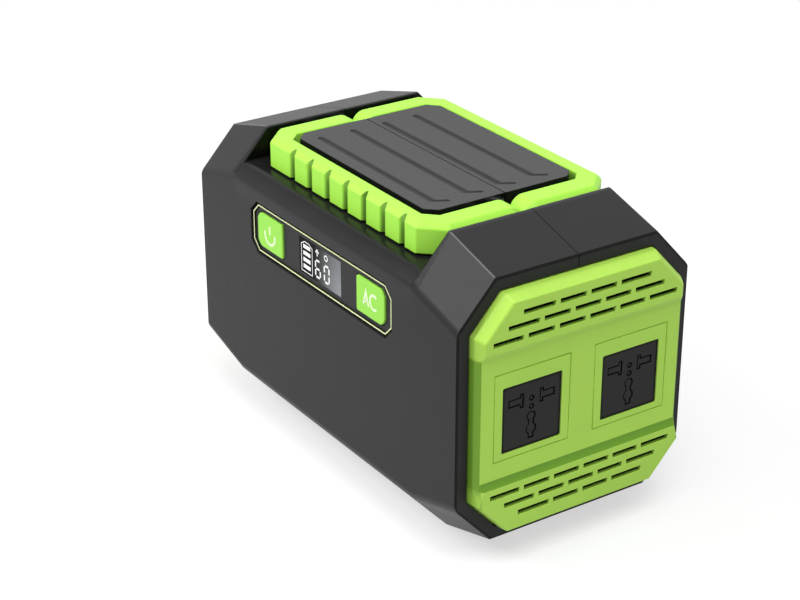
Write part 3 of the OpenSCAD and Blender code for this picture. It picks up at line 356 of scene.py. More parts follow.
def shell_finish():
    """Dark body: satin all over, glossy in the handle recess, rough and lighter on the pad; with
    painted shade in the recess, on the lowest faces, along the rims and in the pad's grooves, and
    painted highlights on the ridges' edges.
    """
    finish = Finish("shell_plastic")
    tone, grit, coarse = finish.cloud(), finish.grit(), finish.grit(3)
    along, across = finish.away(finish.x), finish.away(finish.y)
    pad = finish.ramp(finish.z, PAD_Z - 0.3 * MM, PAD_Z - 0.1 * MM)
    below_pad = finish.ramp(finish.z, PAD_Z - 0.1 * MM, PAD_Z - 0.3 * MM)
    # Painted shade in and along the pad's grooves
    groove_shade = groove_shade_mask(finish, along, across, below_pad)
    recess = finish.both(finish.ramp(along, RECESS_X + 0.1 * MM, RECESS_X - 0.1 * MM), below_pad)
    sunk = finish.both(recess, finish.ramp(finish.z, FLOOR_Z - 22 * MM, FLOOR_Z - 6 * MM))
    # Painted shade in the handle recess, from just below its floor up to the pad
    shaded = finish.both(recess, finish.ramp(finish.z, FLOOR_Z - 8 * MM, FLOOR_Z + 3 * MM), 0.75)
    # Painted shade on the body's lowest faces, below UNDER_Z, apart from the rim faces
    underside_shade = finish.both(
        finish.ramp(finish.z, UNDER_Z, UNDER_Z - 2.0 * MM),
        finish.ramp(along, RIM_X - 0.1 * MM, RIM_X - 0.3 * MM),
    )
    body = finish.mix(underside_shade, finish.vary(tone, SHELL_TONE, 0.94, 1.06), shade(SHELL_TONE, 0.3))
    # Painted highlights along the ridges' crests and the edges from them to the ends
    body = finish.mix(painted_highlight_mask(finish, along, across), body, HIGHLIGHT_TONE)
    body = finish.mix(pad, body, finish.vary(coarse, PAD_TONE, 0.75, 1.25))
    body = finish.mix(finish.most(line_mask(finish, along, across), shaded), body, DARK_TONE)
    finish.set("Base Color", finish.mix(groove_shade, body, shade(PAD_TONE, 0.56)))
    rough = finish.blend(sunk, finish.between(grit, 0.34, 0.46), finish.between(tone, 0.14, 0.22))
    finish.set("Roughness", finish.blend(finish.most(pad, groove_shade), rough, 0.7))
    finish.set("Specular IOR Level", SHELL_SPECULAR)
    finish.bump(finish.blend(pad, grit, coarse), 0.02 * MM)
    return finish


PANEL_TONE = srgb("aad655")
# Painted shade tone of the panels' lower slope and sides
PANEL_SHADE = srgb("68962a")
# Painted shade tones of the vent slots: their walls, and deeper in
VENT_WALL_SHADE = srgb("92b94a")
VENT_DEPTH_SHADE = srgb("10140a")
VENT_LOW, VENT_TOP, VENT_SIDE = STEP_HALF + 1.5 * MM, 60.0 * MM, 60.0 * MM
VENT_LEAN, VENT_REACH = 9.1 / 6.95, 119.3 * MM


def panel_finish():
    """End panels: satin green, with painted shade on the lower slope, the sides and in the vent
    slots.
    """
    finish = Finish("panel_green")
    out, across = finish.away(finish.x), finish.away(finish.y)
    height = finish.less(finish.z, PANEL_MID)
    above = finish.away(height)
    # Painted shade on the slope from the middle out to the lower vent block
    painted_slope_shade = finish.both(
        finish.ramp(height, -STEP_HALF - 0.1 * MM, -STEP_HALF + 0.2 * MM),
        finish.ramp(height, -MIDDLE_HALF + 0.1 * MM, -MIDDLE_HALF - 0.2 * MM),
        finish.ramp(out, MIDDLE_X - 0.2 * MM, MIDDLE_X),
    )
    # Painted shade on the sides beside the middle
    side = finish.both(
        finish.ramp(across, PANEL_SIDE_Y - 2.5 * MM, PANEL_SIDE_Y - 2.1 * MM),
        finish.ramp(height, MIDDLE_HALF + 2.0 * MM, MIDDLE_HALF),
        finish.ramp(height, -STEP_HALF - 4.0 * MM, -MIDDLE_HALF - 1.0 * MM, 0.4, 1.0),
        0.9,
    )
    soft = 0.2 * MM
    leaning = finish.math("ADD", across, finish.both(above, VENT_LEAN))
    vents = finish.both(
        finish.ramp(above, VENT_LOW, VENT_LOW + 2 * soft),
        finish.ramp(above, VENT_TOP + soft, VENT_TOP - soft),
        finish.ramp(leaning, VENT_REACH + soft, VENT_REACH - soft),
        finish.ramp(across, VENT_SIDE + soft, VENT_SIDE - soft),
    )
    # Painted shade in the vent slots: darker on the walls, near black deeper in
    vent_wall_shade = finish.both(vents, finish.ramp(out, PANEL_FACE_X - 0.3 * MM, PANEL_FACE_X - 0.5 * MM))
    vent_depth_shade = finish.both(vents, finish.ramp(out, PANEL_FACE_X - 2.3 * MM, PANEL_FACE_X - 3.0 * MM))
    body = finish.vary(finish.cloud(), PANEL_TONE, 0.95, 1.05)
    body = finish.mix(finish.most(painted_slope_shade, side), body, PANEL_SHADE)
    finish.set("Base Color", finish.mix(vent_depth_shade, finish.mix(vent_wall_shade, body, VENT_WALL_SHADE), VENT_DEPTH_SHADE))
    finish.surface(finish.grit(), (0.34, 0.46), 0.2, FINE_GRAIN)
    return finish


HANDLE_TONE = srgb("a4e64c")
GRIP_SHIFT, GRIP_PITCH, GRIP_COUNT = 5.6 * MM, 18.2 * MM, 7
GRIP_HALF, GRIP_DEEP, GRIP_LEAN = 2.7 * MM, 3.2 * MM, 0.75


def handle_finish():
    """Carry handles: satin green, with painted shade down in the grip grooves."""
    finish = Finish("handle_green")
    row = finish.math("ADD", finish.x, GRIP_PITCH / 2 - GRIP_SHIFT)
    depth = finish.less(HANDLE_OUT, finish.away(finish.y))
    mouth = finish.less(GRIP_HALF, finish.both(depth, GRIP_LEAN))
    reach = GRIP_COUNT / 2 * GRIP_PITCH
    # Painted shade down in the grip grooves
    groove_shade = finish.both(
        finish.ramp(finish.less(finish.from_row(row, GRIP_PITCH), mouth), 0.35 * MM, 0.15 * MM),
        finish.band(depth, (0.1 * MM, 1.6 * MM), (GRIP_DEEP + 0.4 * MM, GRIP_DEEP + 0.2 * MM)),
        finish.ramp(finish.away(finish.x, GRIP_SHIFT), reach, reach - 0.1 * GRIP_PITCH),
    )
    body = finish.vary(finish.cloud(), HANDLE_TONE, 0.97, 1.03)
    finish.set("Base Color", finish.mix(groove_shade, body, shade(HANDLE_TONE, 0.35)))
    finish.surface(finish.grit(), (0.36, 0.48), 0.2, FINE_GRAIN)
    return finish


BEZEL_CUT = 6.5 * MM


def bezel_finish():
    """Control bezel: the body's grey, with a dark green edge along the trim line."""
    finish = Finish("bezel_plastic")
    across = finish.away(finish.x)
    along = finish.away(finish.z, LENS_MID.z)
    corner = finish.less(TRIM_HALF_X + TRIM_HALF_Z - BEZEL_CUT, finish.math("ADD", across, along))
    inset = finish.least(
        finish.less(TRIM_HALF_X, across),
        finish.less(TRIM_HALF_Z, along),
        finish.both(corner, 0.7071),
    )
    line = finish.both(
        finish.ramp(inset, 2.2 * MM, 1.0 * MM),
        finish.ramp(finish.y, LENS_LOW.y + 0.7 * MM, LENS_LOW.y + 0.6 * MM),
    )
    body = finish.vary(finish.cloud(), SHELL_TONE, 0.92, 1.05)
    finish.set("Base Color", finish.mix(line, body, LINE_TONE))
    finish.surface(finish.grit(), (0.36, 0.46), SHELL_SPECULAR, FINE_GRAIN)
    return finish


SOCKET_TONE = srgb("242524")


def socket_finish():
    """AC sockets: satin black, with painted shade in a rounded gap round the face, on the slot
    walls and deeper than the shutters' plates.
    """
    finish = Finish("socket_black")
    straight = SOCKET_HALF - SOCKET_CORNER
    past = [
        finish.most(finish.less(finish.away(finish.away(finish.y), SOCKET_Y), straight), 0.0),
        finish.most(finish.less(finish.away(finish.z, SOCKET_Z), straight), 0.0),
    ]
    reach = finish.math("SQRT", finish.math("ADD", *[finish.math("POWER", p, 2.0) for p in past]))
    # Painted shade: a ring in the rounded gap round the face, the slot walls, and what lies deeper
    # than the shutters' plates
    gap = finish.ramp(reach, SOCKET_CORNER - 1.5 * MM, SOCKET_CORNER - 1.2 * MM)
    depth = finish.less(SOCKET_FACE_X, finish.x)
    slot_wall_shade = finish.band(
        depth,
        (0.2 * MM, 0.35 * MM),
        (SHUTTER_DEPTH - 0.02 * MM, SHUTTER_DEPTH - 0.12 * MM),
    )
    deeper_shade = finish.ramp(depth, SHUTTER_DEPTH + 0.1 * MM, SHUTTER_DEPTH + 0.25 * MM)
    body = finish.vary(finish.cloud(), SOCKET_TONE, 0.95, 1.05)
    finish.set("Base Color", finish.mix(finish.most(gap, slot_wall_shade, deeper_shade), body, srgb("030303")))
    finish.surface(finish.grit(), (0.4, 0.52), 0.12, 0.015 * MM)
    return finish


def trim_finish():
    """Trim line of the control bezel: pale on top, dark green down its sides."""
    finish = Finish("trim_pale")
    tone = finish.cloud()
    sides = finish.ramp(finish.y, TRIM_FACE_Y + 0.1 * MM, TRIM_FACE_Y + 0.2 * MM)
    pale = finish.mix(tone, srgb("dee6b0"), srgb("e6eeb8"))
    finish.set("Base Color", finish.mix(sides, pale, LINE_TONE))
    finish.set("Roughness", finish.between(tone, 0.26, 0.34))
    finish.set("Specular IOR Level", 0.3)
    return finish


def lens_finish():
    """Display window: black glass that turns to a silvery grey towards the AC button."""
    finish = Finish("display_glass")
    start = LENS_LOW.x + 0.3 * (LENS_HIGH.x - LENS_LOW.x)
    fade = finish.ramp(finish.x, start, LENS_HIGH.x)
    low = finish.ramp(finish.z, LENS_HIGH.z, LENS_LOW.z, 0.75, 1.0)
    finish.set("Base Color", finish.mix(finish.both(fade, low), srgb("08080a"), srgb("8c8f92")))
    finish.set("Roughness", finish.between(finish.noise(120.0, 3.0), 0.1, 0.2))
    finish.set("Specular IOR Level", 0.03)
    return finish


def board_finish():
    """Circuit board: green solder mask over a fine net of copper tracks."""
    finish = Finish("board_green")
    cells = finish.add("ShaderNodeTexBrick", {
        "Vector": finish.place,
        "Scale": 120.0,
        "Mortar Size": 0.06,
        "Color1": srgb("15502a"),
        "Color2": srgb("1b5d31"),
        "Mortar": srgb("3c7d45"),
    })
    finish.set("Base Color", cells.outputs["Color"])
    finish.set("Roughness", finish.between(finish.noise(300.0), 0.25, 0.4))
    finish.bump(cells.outputs["Fac"], 0.02 * MM)
    return finish


def coil_finish():
    """Enamelled winding: turns of wire wound round the core."""
    finish = Finish("coil_copper")
    inputs = {"Vector": finish.place, "Scale": 350.0}
    wave = finish.add("ShaderNodeTexWave", inputs, wave_type="BANDS", bands_direction="Z")
    turns = wave.outputs["Fac"]
    finish.set("Metallic", 0.9)
    finish.set("Base Color", finish.mix(turns, srgb("7a4a1c"), srgb("c98a3a")))
    finish.set("Roughness", finish.ramp(turns, 0.0, 1.0, 0.45, 0.3))
    finish.bump(turns, 0.2 * MM)
    return finish


# Slot, colour and roughness; then, where they differ, depth of grain, clouds and reflection
PLASTICS = (
    ("white_print", "f4f6f2", 0.4, 0.004 * MM, 0.03),
    ("pale_print", "e0f2c8", 0.4, 0.004 * MM, 0.03),
    ("button_green", "96dc4c", 0.36, 0.008 * MM, 0.03, 0.2),
    ("module_plastic", "35373a", 0.5),
    ("black_plastic", "1d1e1f", 0.5),
    ("cell_sleeve", "2f62ad", 0.3, 0.01 * MM),
    ("capacitor_sleeve", "1f2a3a", 0.3, 0.01 * MM),
    ("core_ferrite", "38383a", 0.6, 0.04 * MM, 0.12),
    ("foot_rubber", "1a1a1a", 0.85, 0.06 * MM, 0.1),
)
# Slot, colour and roughness; then how the marks are stretched
METALS = (
    ("pin_steel", "b8b8b6", 0.3, (0.1, 1, 1)),
    ("screw_steel", "aeb0b0", 0.35),
    ("contact_brass", "caa04a", 0.35, (0.2, 1, 1)),
    ("strap_nickel", "c6c4ba", 0.35, (0.1, 1, 1)),
    ("sink_aluminium", "b4b8bc", 0.4, (0.1, 1, 1)),
)
OTHERS = (
    shell_finish, panel_finish, handle_finish, bezel_finish, socket_finish, trim_finish,
    lens_finish, board_finish, coil_finish, port_finish,
)


def make_finishes():
    """One material for each material slot of the record, and two for the marks."""
    finishes = [make() for make in OTHERS]
    finishes += [plastic(slot, srgb(code), *rest) for slot, code, *rest in PLASTICS]
    finishes += [metal(slot, srgb(code), *rest) for slot, code, *rest in METALS]
    return {finish.slot: finish.material for finish in finishes}


# Pieces

FINISHES = make_finishes()
RECORD = frame["record"]
SLOT_OF = {part["node"]: part["material_slot"] for part in RECORD["subparts"]}
BODY_OF = {node: body for body, nodes in RECORD["behaviour"]["bodies"].items() for node in nodes}


def dress_nodes():
    """Gives every CAD node the finish of its material slot."""
    for name, node in frame["nodes"].items():
        for slot in node.material_slots:
            slot.material = FINISHES[SLOT_OF[name]]


def add_piece(name, work, body, material):
    """Makes a piece of a worked mesh, which ends the work on it."""
    mesh = bpy.data.meshes.new(name)
    work.to_mesh(mesh)
    work.free()
    piece = bpy.data.objects.new(name, mesh)
    bpy.context.scene.collection.objects.link(piece)
    mesh.materials.append(material)
    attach(piece, body)
    return piece


def replace_node(node, name, work):
    """Makes a piece that takes the place of a CAD node, with its body and finish."""
    piece = add_piece(name, work, BODY_OF[node], FINISHES[SLOT_OF[node]])
    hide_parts(node)
    return piece


def round_edges(piece, width, segments):
    bevel = piece.modifiers.new("rounding", "BEVEL")
    bevel.width = width
    bevel.segments = segments
    return bevel


def even_normals(piece):
    normals = piece.modifiers.new("normals", "WEIGHTED_NORMAL")
    normals.keep_sharp = True


# Softened copies of moulded parts

WELD = 0.02 * MM
TOUCH = 0.02 * MM
FLAT_ANGLE = math.radians(0.3)
EDGE_ANGLE = math.radians(14)
CREASE_ANGLE = math.radians(30)
SHELLS = ("front_shell", "back_shell")
ROLL_HIGH = 14 * MM
ROLL_DIP = 2.5 * MM
RECESS_CUTS = [side * (RECESS_X - inset) for side in (-1, 1) for inset in (0.0, 3.0 * MM)]


def middle_of(edge):
    return (edge.verts[0].co + edge.verts[1].co) / 2


def outer_tree():
    """Every solid of the object, to find which edges face the outside."""
    whole = bmesh.new()
    for node in frame["nodes"].values():
        whole.from_mesh(node.data)
    tree = BVHTree.FromBMesh(whole)
    whole.free()
    return tree


OUTER = outer_tree()


def faces_out(edge):
    """True if nothing of the object lies in front of an edge."""
    normal = sum((face.normal for face in edge.link_faces), Vector()).normalized()
    start = middle_of(edge) + normal * 5 * TOUCH
    return OUTER.ray_cast(start, normal)[0] is None


def on_roll(face):
    """True for a face of the rolled edge between the front or back and the handle recess."""
    slanted = abs(face.normal.x) < 0.02 and min(abs(face.normal.y), abs(face.normal.z)) > 0.02
    return slanted and face.calc_center_median().z > FLOOR_Z - ROLL_HIGH


def clean_roll(work):
    """Brings the roll's ends to the ridges' lower corners, and cuts its faces near their ends."""
    corners = {}
    for vert in work.verts:
        x, y, z = vert.co
        if abs(abs(y) + FRONT_Y) > TOUCH or abs(abs(x) - RECESS_X) > TOUCH:
            continue
        if abs(z - RIDGE_LOW_Z) < TOUCH:
            corner = Vector((math.copysign(RIDGE_X, x), y, z))
            corners[vert] = min(work.verts, key=lambda v: (v.co - corner).length)
        elif abs(z - ROLL_LOW_Z) < TOUCH:
            vert.co.z -= ROLL_DIP
    bmesh.ops.weld_verts(work, targetmap=corners)
    for x in RECESS_CUTS:
        faces = [face for face in work.faces if on_roll(face)]
        edges = list({edge for face in faces for edge in face.edges})
        verts = list({vert for face in faces for vert in face.verts})
        bmesh.ops.bisect_plane(work, geom=verts + edges + faces, dist=WELD,
                               plane_co=(x, 0, 0), plane_no=(1, 0, 0))


def soften(node, width_of, widest, segments):
    """Shows a copy of a CAD node with rounded edges; width_of gives each sharp edge its width."""
    work = bmesh.new()
    work.from_mesh(frame["nodes"][node].data)
    bmesh.ops.remove_doubles(work, verts=work.verts, dist=WELD)
    bmesh.ops.dissolve_degenerate(work, dist=WELD, edges=work.edges)
    bmesh.ops.dissolve_limit(work, angle_limit=FLAT_ANGLE, verts=work.verts, edges=work.edges)
    if node in SHELLS:
        clean_roll(work)
    weight = work.edges.layers.float.new("bevel_weight_edge")
    for edge in work.edges:
        angle = edge.calc_face_angle(0.0)
        edge.smooth = angle < CREASE_ANGLE
        if angle > EDGE_ANGLE and edge.is_convex:
            edge[weight] = width_of(edge) / widest
            edge.smooth = edge.smooth or edge[weight] > 0
    for face in work.faces:
        face.smooth = True
    piece = replace_node(node, node + "_soft", work)
    bevel = round_edges(piece, widest, segments)
    bevel.limit_method = "WEIGHT"
    bevel.use_clamp_overlap = False
    bevel.miter_outer = "MITER_ARC"
    even_normals(piece)


SHELL_ROUND = 3.1 * MM
FACET_ROUND = 5.0 * MM
RIM_ROUND = 0.8 * MM
CREST_ROUND = 0.5 * MM
RECESS_ROUND = 0.8 * MM
OPENING_ROUND = 0.35 * MM
SEAM_ROUND = 0.2 * MM
GROOVE_ROUND = 0.7 * MM
HANDLE_ROUND = 0.8 * MM
GRIP_ROUND = 0.3 * MM
PANEL_ROUND = 1.1 * MM
PANEL_LOW_ROUND = 0.3 * MM
STEP_ROUND = 0.4 * MM
VENT_ROUND = 0.2 * MM
SOCKET_ROUND = 0.2 * MM
FACE_ROUND = 0.15 * MM
FOOT_ROUND = 0.6 * MM

SEAM_NEAR = 1.0 * MM
FACET_LOW_Z = ROLL_LOW_Z - 10 * MM
ROLL_KEEP = 12 * MM
TINY_EDGE, SHORT_EDGE, LONG_EDGE = 1.0 * MM, 6.0 * MM, 90.0 * MM
PIN_KEEP = 3.5 * MM
BORDER = 3.5 * MM
FACE_KEEP = 1.0 * MM


def faces_in(edge):
    """True for an edge of a hole in an end, where a face looks towards the end's middle."""
    place = middle_of(edge)
    out = Vector((0, place.y, place.z - PANEL_MID)).normalized()
    return any(face.normal.dot(out) < -0.2 for face in edge.link_faces)


def shell_width(edge):
    """Rounding of an edge of the two half shells."""
    place = middle_of(edge)
    run = edge.verts[1].co - edge.verts[0].co
    on_rim = abs(place.x) > RIM_X - TOUCH
    if not on_rim and not faces_out(edge):
        return 0.0
    if abs(place.y) < SEAM_NEAR and abs(run.y) < TOUCH:
        return SEAM_ROUND
    if on_rim:
        return OPENING_ROUND if faces_in(edge) else RIM_ROUND
    if place.z > PAD_Z - TOUCH:
        in_groove = abs(place.x) < GROOVE_X and abs(place.y) < GROOVE_Y
        return GROOVE_ROUND if in_groove else CREST_ROUND
    on_front = abs(place.y) > -FRONT_Y - TOUCH
    if on_front and abs(place.x) < BEZEL_X and abs(place.z - LENS_MID.z) < BEZEL_Z:
        return OPENING_ROUND
    if abs(place.x) < RECESS_X + TOUCH and FLOOR_Z - ROLL_KEEP < place.z < FLOOR_Z:
        return 0.0
    if run.length < SHORT_EDGE:
        return SEAM_ROUND
    if on_front:
        return FACET_ROUND if place.z > FACET_LOW_Z else SHELL_ROUND
    if abs(abs(place.x) - RECESS_X) < TOUCH:
        return RECESS_ROUND
    return CREST_ROUND if edge.calc_face_angle(0.0) > CREASE_ANGLE else 0.0


def handle_width(edge):
    """Rounding of an edge of a carry handle: slight beside the grip grooves, none at the pins."""
    place = middle_of(edge)
    from_pin = math.hypot(place.y - math.copysign(PIVOT.y, place.y), place.z - PIVOT.z)
    if edge.calc_length() < TINY_EDGE or from_pin < PIN_KEEP:
        return 0.0
    along_grip = abs(place.y) > HANDLE_OUT - BORDER and abs(place.x) < GRIP_X
    return GRIP_ROUND if along_grip else HANDLE_ROUND


def panel_width(edge):
    """Rounding of an edge of an end panel: wide round its border, narrow at steps and vents."""
    place = middle_of(edge)
    height = abs(place.z - PANEL_MID)
    length = edge.calc_length()
    if abs(place.x) < RIM_X + FACE_KEEP or length < TINY_EDGE:
        return 0.0
    if place.z < PANEL_MID - STEP_HALF + TOUCH:
        return PANEL_LOW_ROUND
    beside, above = abs(place.y) > PANEL_SIDE_Y - BORDER, height > PANEL_HALF - BORDER
    if beside or above or abs(place.y) + height > PANEL_SLANT:
        return PANEL_ROUND
    return STEP_ROUND if length > LONG_EDGE else VENT_ROUND


def socket_width(edge):
    """Rounding of an edge on the face of a socket."""
    return SOCKET_ROUND if middle_of(edge).x >= MIDDLE_X - FACE_KEEP else 0.0


def bezel_width(edge):
    """Rounding of an edge on the front of the bezel."""
    behind = middle_of(edge).y > LENS_LOW.y + 0.1 * MM
    return 0.0 if behind or edge.calc_length() < TINY_EDGE else FACE_ROUND


def foot_width(edge):
    return FOOT_ROUND


# Nodes, how wide each of their edges is rounded, the widest of them, and its segments
SOFT_NODES = (
    (SHELLS, shell_width, FACET_ROUND, 6),
    (("front_handle", "back_handle"), handle_width, HANDLE_ROUND, 3),
    (("socket_panel", "port_panel"), panel_width, PANEL_ROUND, 3),
    (("ac_socket_left", "ac_socket_right"), socket_width, SOCKET_ROUND, 2),
    (("control_bezel",), bezel_width, FACE_ROUND, 2),
    (("rubber_feet",), foot_width, FOOT_ROUND, 3),
)


def make_soft_pieces():
    for nodes, width_of, widest, segments in SOFT_NODES:
        for node in nodes:
            soften(node, width_of, widest, segments)


def thicken(work, faces, y):
    """Makes a solid of flat faces by moving a copy of them along Y."""
    grown = bmesh.ops.extrude_face_region(work, geom=faces)
    copy = [v for v in grown["geom"] if isinstance(v, bmesh.types.BMVert)]
    bmesh.ops.translate(work, verts=copy, vec=(0, y, 0))
    bmesh.ops.recalc_face_normals(work, faces=work.faces)


# Seal in the seam between the two shells

SEAL_INSET = 0.6 * MM


def in_seam(face):
    return face.normal.y > 0.99 and abs(face.calc_center_median().y) < SEAM_NEAR


def make_seam_seal():
    """A dark strip that fills the seam, set back from the outside and held by both shells."""
    work = bmesh.new()
    work.from_mesh(frame["nodes"]["front_shell"].data)
    bmesh.ops.remove_doubles(work, verts=work.verts, dist=WELD)
    kept = [face for face in work.faces if in_seam(face)]
    seam_y = kept[0].calc_center_median().y
    bmesh.ops.delete(work, geom=list(set(work.faces) - set(kept)), context="FACES")
    border = bmesh.ops.inset_region(work, faces=work.faces, thickness=SEAL_INSET, use_boundary=True)
    bmesh.ops.delete(work, geom=border["faces"], context="FACES")
    bmesh.ops.translate(work, verts=work.verts, vec=(0, -TOUCH, 0))
    thicken(work, list(work.faces), 2 * (TOUCH - seam_y))
    add_piece("seam_seal", work, "case", FINISHES["foot_rubber"])


# Trim line of the control bezel

TRIM_MOVE, TRIM_WIDE, TRIM_CUT = 0.5 * MM, 0.8 * MM, 6.1 * MM
TRIM_ROUND = 0.15 * MM


def trim_outline(inset):
    """Octagon of the trim's outer edge, across X and Z, moved in by a distance."""
    x, z = TRIM_HALF_X - inset, TRIM_HALF_Z - inset
    cut = TRIM_CUT - inset * (2 - math.sqrt(2))
    corner = [(x, z - cut), (x - cut, z)]
    right = [(a, -b) for a, b in reversed(corner)] + corner
    return [(a, LENS_MID.z + b) for a, b in right + [(-a, -b) for a, b in right]]


def make_trim():
    """Raised line round the bezel, that stands in the bezel's groove."""
    outer, inner = TRIM_MOVE, TRIM_MOVE + TRIM_WIDE
    rings = [
        (outer, TRIM_HIGH.y),
        (outer, TRIM_FACE_Y + TRIM_ROUND),
        (outer + TRIM_ROUND, TRIM_FACE_Y),
        (inner - TRIM_ROUND, TRIM_FACE_Y),
        (inner, TRIM_FACE_Y + TRIM_ROUND),
        (inner, TRIM_HIGH.y),
    ]
    work = bmesh.new()
    loops = [[work.verts.new((x, y, z)) for x, z in trim_outline(inset)] for inset, y in rings]
    for first, second in zip(loops, loops[1:] + loops[:1]):
        for i in range(len(first)):
            work.faces.new((first[i - 1], first[i], second[i], second[i - 1]))
    bmesh.ops.recalc_face_normals(work, faces=work.faces)
    replace_node("bezel_trim", "bezel_trim_raised", work)


# Buttons

BUTTON_FLANGE = 1.5 * MM
BUTTON_CUT, BUTTON_CORNER, BUTTON_ROUND = 3.2 * MM, 1.6 * MM, 0.7 * MM
BUTTON_DEEP = 4.0 * MM
MARK_RISE = 0.06 * MM


def make_button(node, side):
    """Button with its outer corners cut and its edges rounded; side is -1 or 1."""
    low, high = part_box(node)
    ends = low.x + BUTTON_FLANGE, high.x - BUTTON_FLANGE
    x_in, x_out = sorted(ends, key=lambda x: x * side)
    x_cut = x_out - BUTTON_CUT * side
    z_low, z_high = low.z + BUTTON_FLANGE, high.z - BUTTON_FLANGE
    outline = [
        (x_in, z_low), (x_cut, z_low), (x_out, z_low + BUTTON_CUT),
        (x_out, z_high - BUTTON_CUT), (x_cut, z_high), (x_in, z_high),
    ]
    face_y = low.y + MARK_RISE
    work = bmesh.new()
    front = work.faces.new([work.verts.new((x, face_y, z)) for x, z in outline])
    thicken(work, [front], BUTTON_DEEP)
    upright = [e for e in work.edges if abs(e.verts[0].co.y - e.verts[1].co.y) > BUTTON_DEEP / 2]
    bmesh.ops.bevel(work, geom=upright, offset=BUTTON_CORNER, segments=5,
                    profile=0.5, affect="EDGES")
    rim = [e for e in work.edges if all(v.co.y < face_y + TOUCH for v in e.verts)]
    bmesh.ops.bevel(work, geom=rim, offset=BUTTON_ROUND, segments=4,
                    profile=0.5, affect="EDGES")
    for face in work.faces:
        face.smooth = True
    even_normals(replace_node(node, node + "_cap", work))


# Shutters behind the slots of the AC sockets

BLADE_Y, BLADE_W, BLADE_H = 6.35 * MM, 2.6 * MM, 8.4 * MM
LIVE_OUT, LIVE_H, LIVE_Z = 14.8 * MM, 4.6 * MM, 8.3 * MM
EARTH_ROUNDS = ((-2.2 * MM, 2.9 * MM), (-9.6 * MM, 3.4 * MM))
EARTH_FOOT_Z, EARTH_FOOT_W = -15.1 * MM, 3.8 * MM
EARTH_ROWS = 48
DOT_HEIGHTS, DOT_R, DOT_SIDES = (3.5 * MM, 8.3 * MM), 1.7 * MM, 32
PLATE_INSET, PLATE_DEEP = 0.8 * MM, 0.7 * MM
FLANGE_INSET, FLANGE_DEEP = -0.02 * MM, 1.0 * MM


def earth_half(z, inset):
    """Half the width of the earth slot at a height, moved in by a distance."""
    squares = [(radius - inset) ** 2 - (z - middle) ** 2 for middle, radius in EARTH_ROUNDS]
    foot = EARTH_FOOT_W / 2 - inset if z < EARTH_ROUNDS[0][0] else 0.0
    return max(foot, *[math.sqrt(max(0.0, square)) for square in squares])


def slot_outlines(inset):
    """Outlines of a universal socket's slots and holes, across Y and Z, moved in by a distance."""
    inner, outer = BLADE_Y - BLADE_W / 2 + inset, BLADE_Y + BLADE_W / 2 - inset
    tip, tall, low = LIVE_OUT - inset, BLADE_H / 2 - inset, LIVE_H / 2 - inset
    live = [(inner, -tall), (outer, -tall), (outer, -low), (tip, -low),
            (tip, low), (outer, low), (outer, tall), (inner, tall)]
    outlines = [[(side * y, z + LIVE_Z) for y, z in live] for side in (-1, 1)]
    bottom, top = EARTH_FOOT_Z + inset, sum(EARTH_ROUNDS[0]) - inset
    rows = [bottom + (top - bottom) * i / EARTH_ROWS for i in range(EARTH_ROWS)]
    right = [(earth_half(z, inset), z) for z in rows]
    outlines.append(right + [(0.0, top)] + [(-y, z) for y, z in reversed(right)])
    radius = DOT_R - inset
    turns = [2 * math.pi * i / DOT_SIDES for i in range(DOT_SIDES)]
    for height in DOT_HEIGHTS:
        outlines.append([(radius * math.cos(t), height + radius * math.sin(t)) for t in turns])
    return outlines


def prism(work, outline, x_front, x_back):
    """A solid of one outline across Y and Z, between two places along X."""
    front = [work.verts.new((x_front, y, z)) for y, z in outline]
    back = [work.verts.new((x_back, y, z)) for y, z in outline]
    work.faces.new(front)
    work.faces.new(reversed(back))
    for i in range(len(outline)):
        work.faces.new((front[i - 1], back[i - 1], back[i], front[i]))


def make_shutters():
    """Plates that close the slots, each on a flange held by the slot's walls."""
    plate_x = SOCKET_FACE_X - SHUTTER_DEPTH
    flange_x = plate_x - PLATE_DEEP
    layers = ((PLATE_INSET, plate_x, flange_x), (FLANGE_INSET, flange_x, flange_x - FLANGE_DEEP))
    work = bmesh.new()
    for y in (-SOCKET_Y, SOCKET_Y):
        for inset, x_front, x_back in layers:
            for outline in slot_outlines(inset):
                prism(work, [(y + dy, SOCKET_Z + dz) for dy, dz in outline], x_front, x_back)
    bmesh.ops.recalc_face_normals(work, faces=work.faces)
    piece = add_piece("socket_shutters", work, "case", FINISHES["socket_black"])
    round_edges(piece, 0.1 * MM, 2)


# Flat marks, drawn across X and Z in millimetres, as ribbons of one width

MARK_DEEP = 0.12 * MM
BOLD = 1.5


def ribbon(work, points, width, y_front, y_back, closed=False):
    """A flat bar of one width that follows a line of points, with mitred turns."""
    count = len(points)
    left, right = [], []
    for i, (x, z) in enumerate(points):
        before = points[i - 1] if i > 0 or closed else None
        after = points[(i + 1) % count] if i < count - 1 or closed else None
        into = Vector((x - before[0], z - before[1])).normalized() if before else None
        out = Vector((after[0] - x, after[1] - z)).normalized() if after else None
        into = into or out
        out = out or into
        along = (into + out).normalized()
        normal = Vector((-along.y, along.x))
        reach = width / 2 / max(0.3, normal.dot(Vector((-into.y, into.x))))
        left.append((x + normal.x * reach, z + normal.y * reach))
        right.append((x - normal.x * reach, z - normal.y * reach))
    rings = [[work.verts.new((x, y, z)) for x, z in line]
             for y in (y_front, y_back) for line in (left, right)]
    front_left, front_right, back_left, back_right = rings
    for i in range(count if closed else count - 1):
        j = (i + 1) % count
        work.faces.new((front_left[i], front_left[j], front_right[j], front_right[i]))
        work.faces.new((back_left[i], back_right[i], back_right[j], back_left[j]))
        work.faces.new((front_left[i], back_left[i], back_left[j], front_left[j]))
        work.faces.new((front_right[i], front_right[j], back_right[j], back_right[i]))
    if not closed:
        for i in (0, count - 1):
            work.faces.new((front_left[i], front_right[i], back_right[i], back_left[i]))


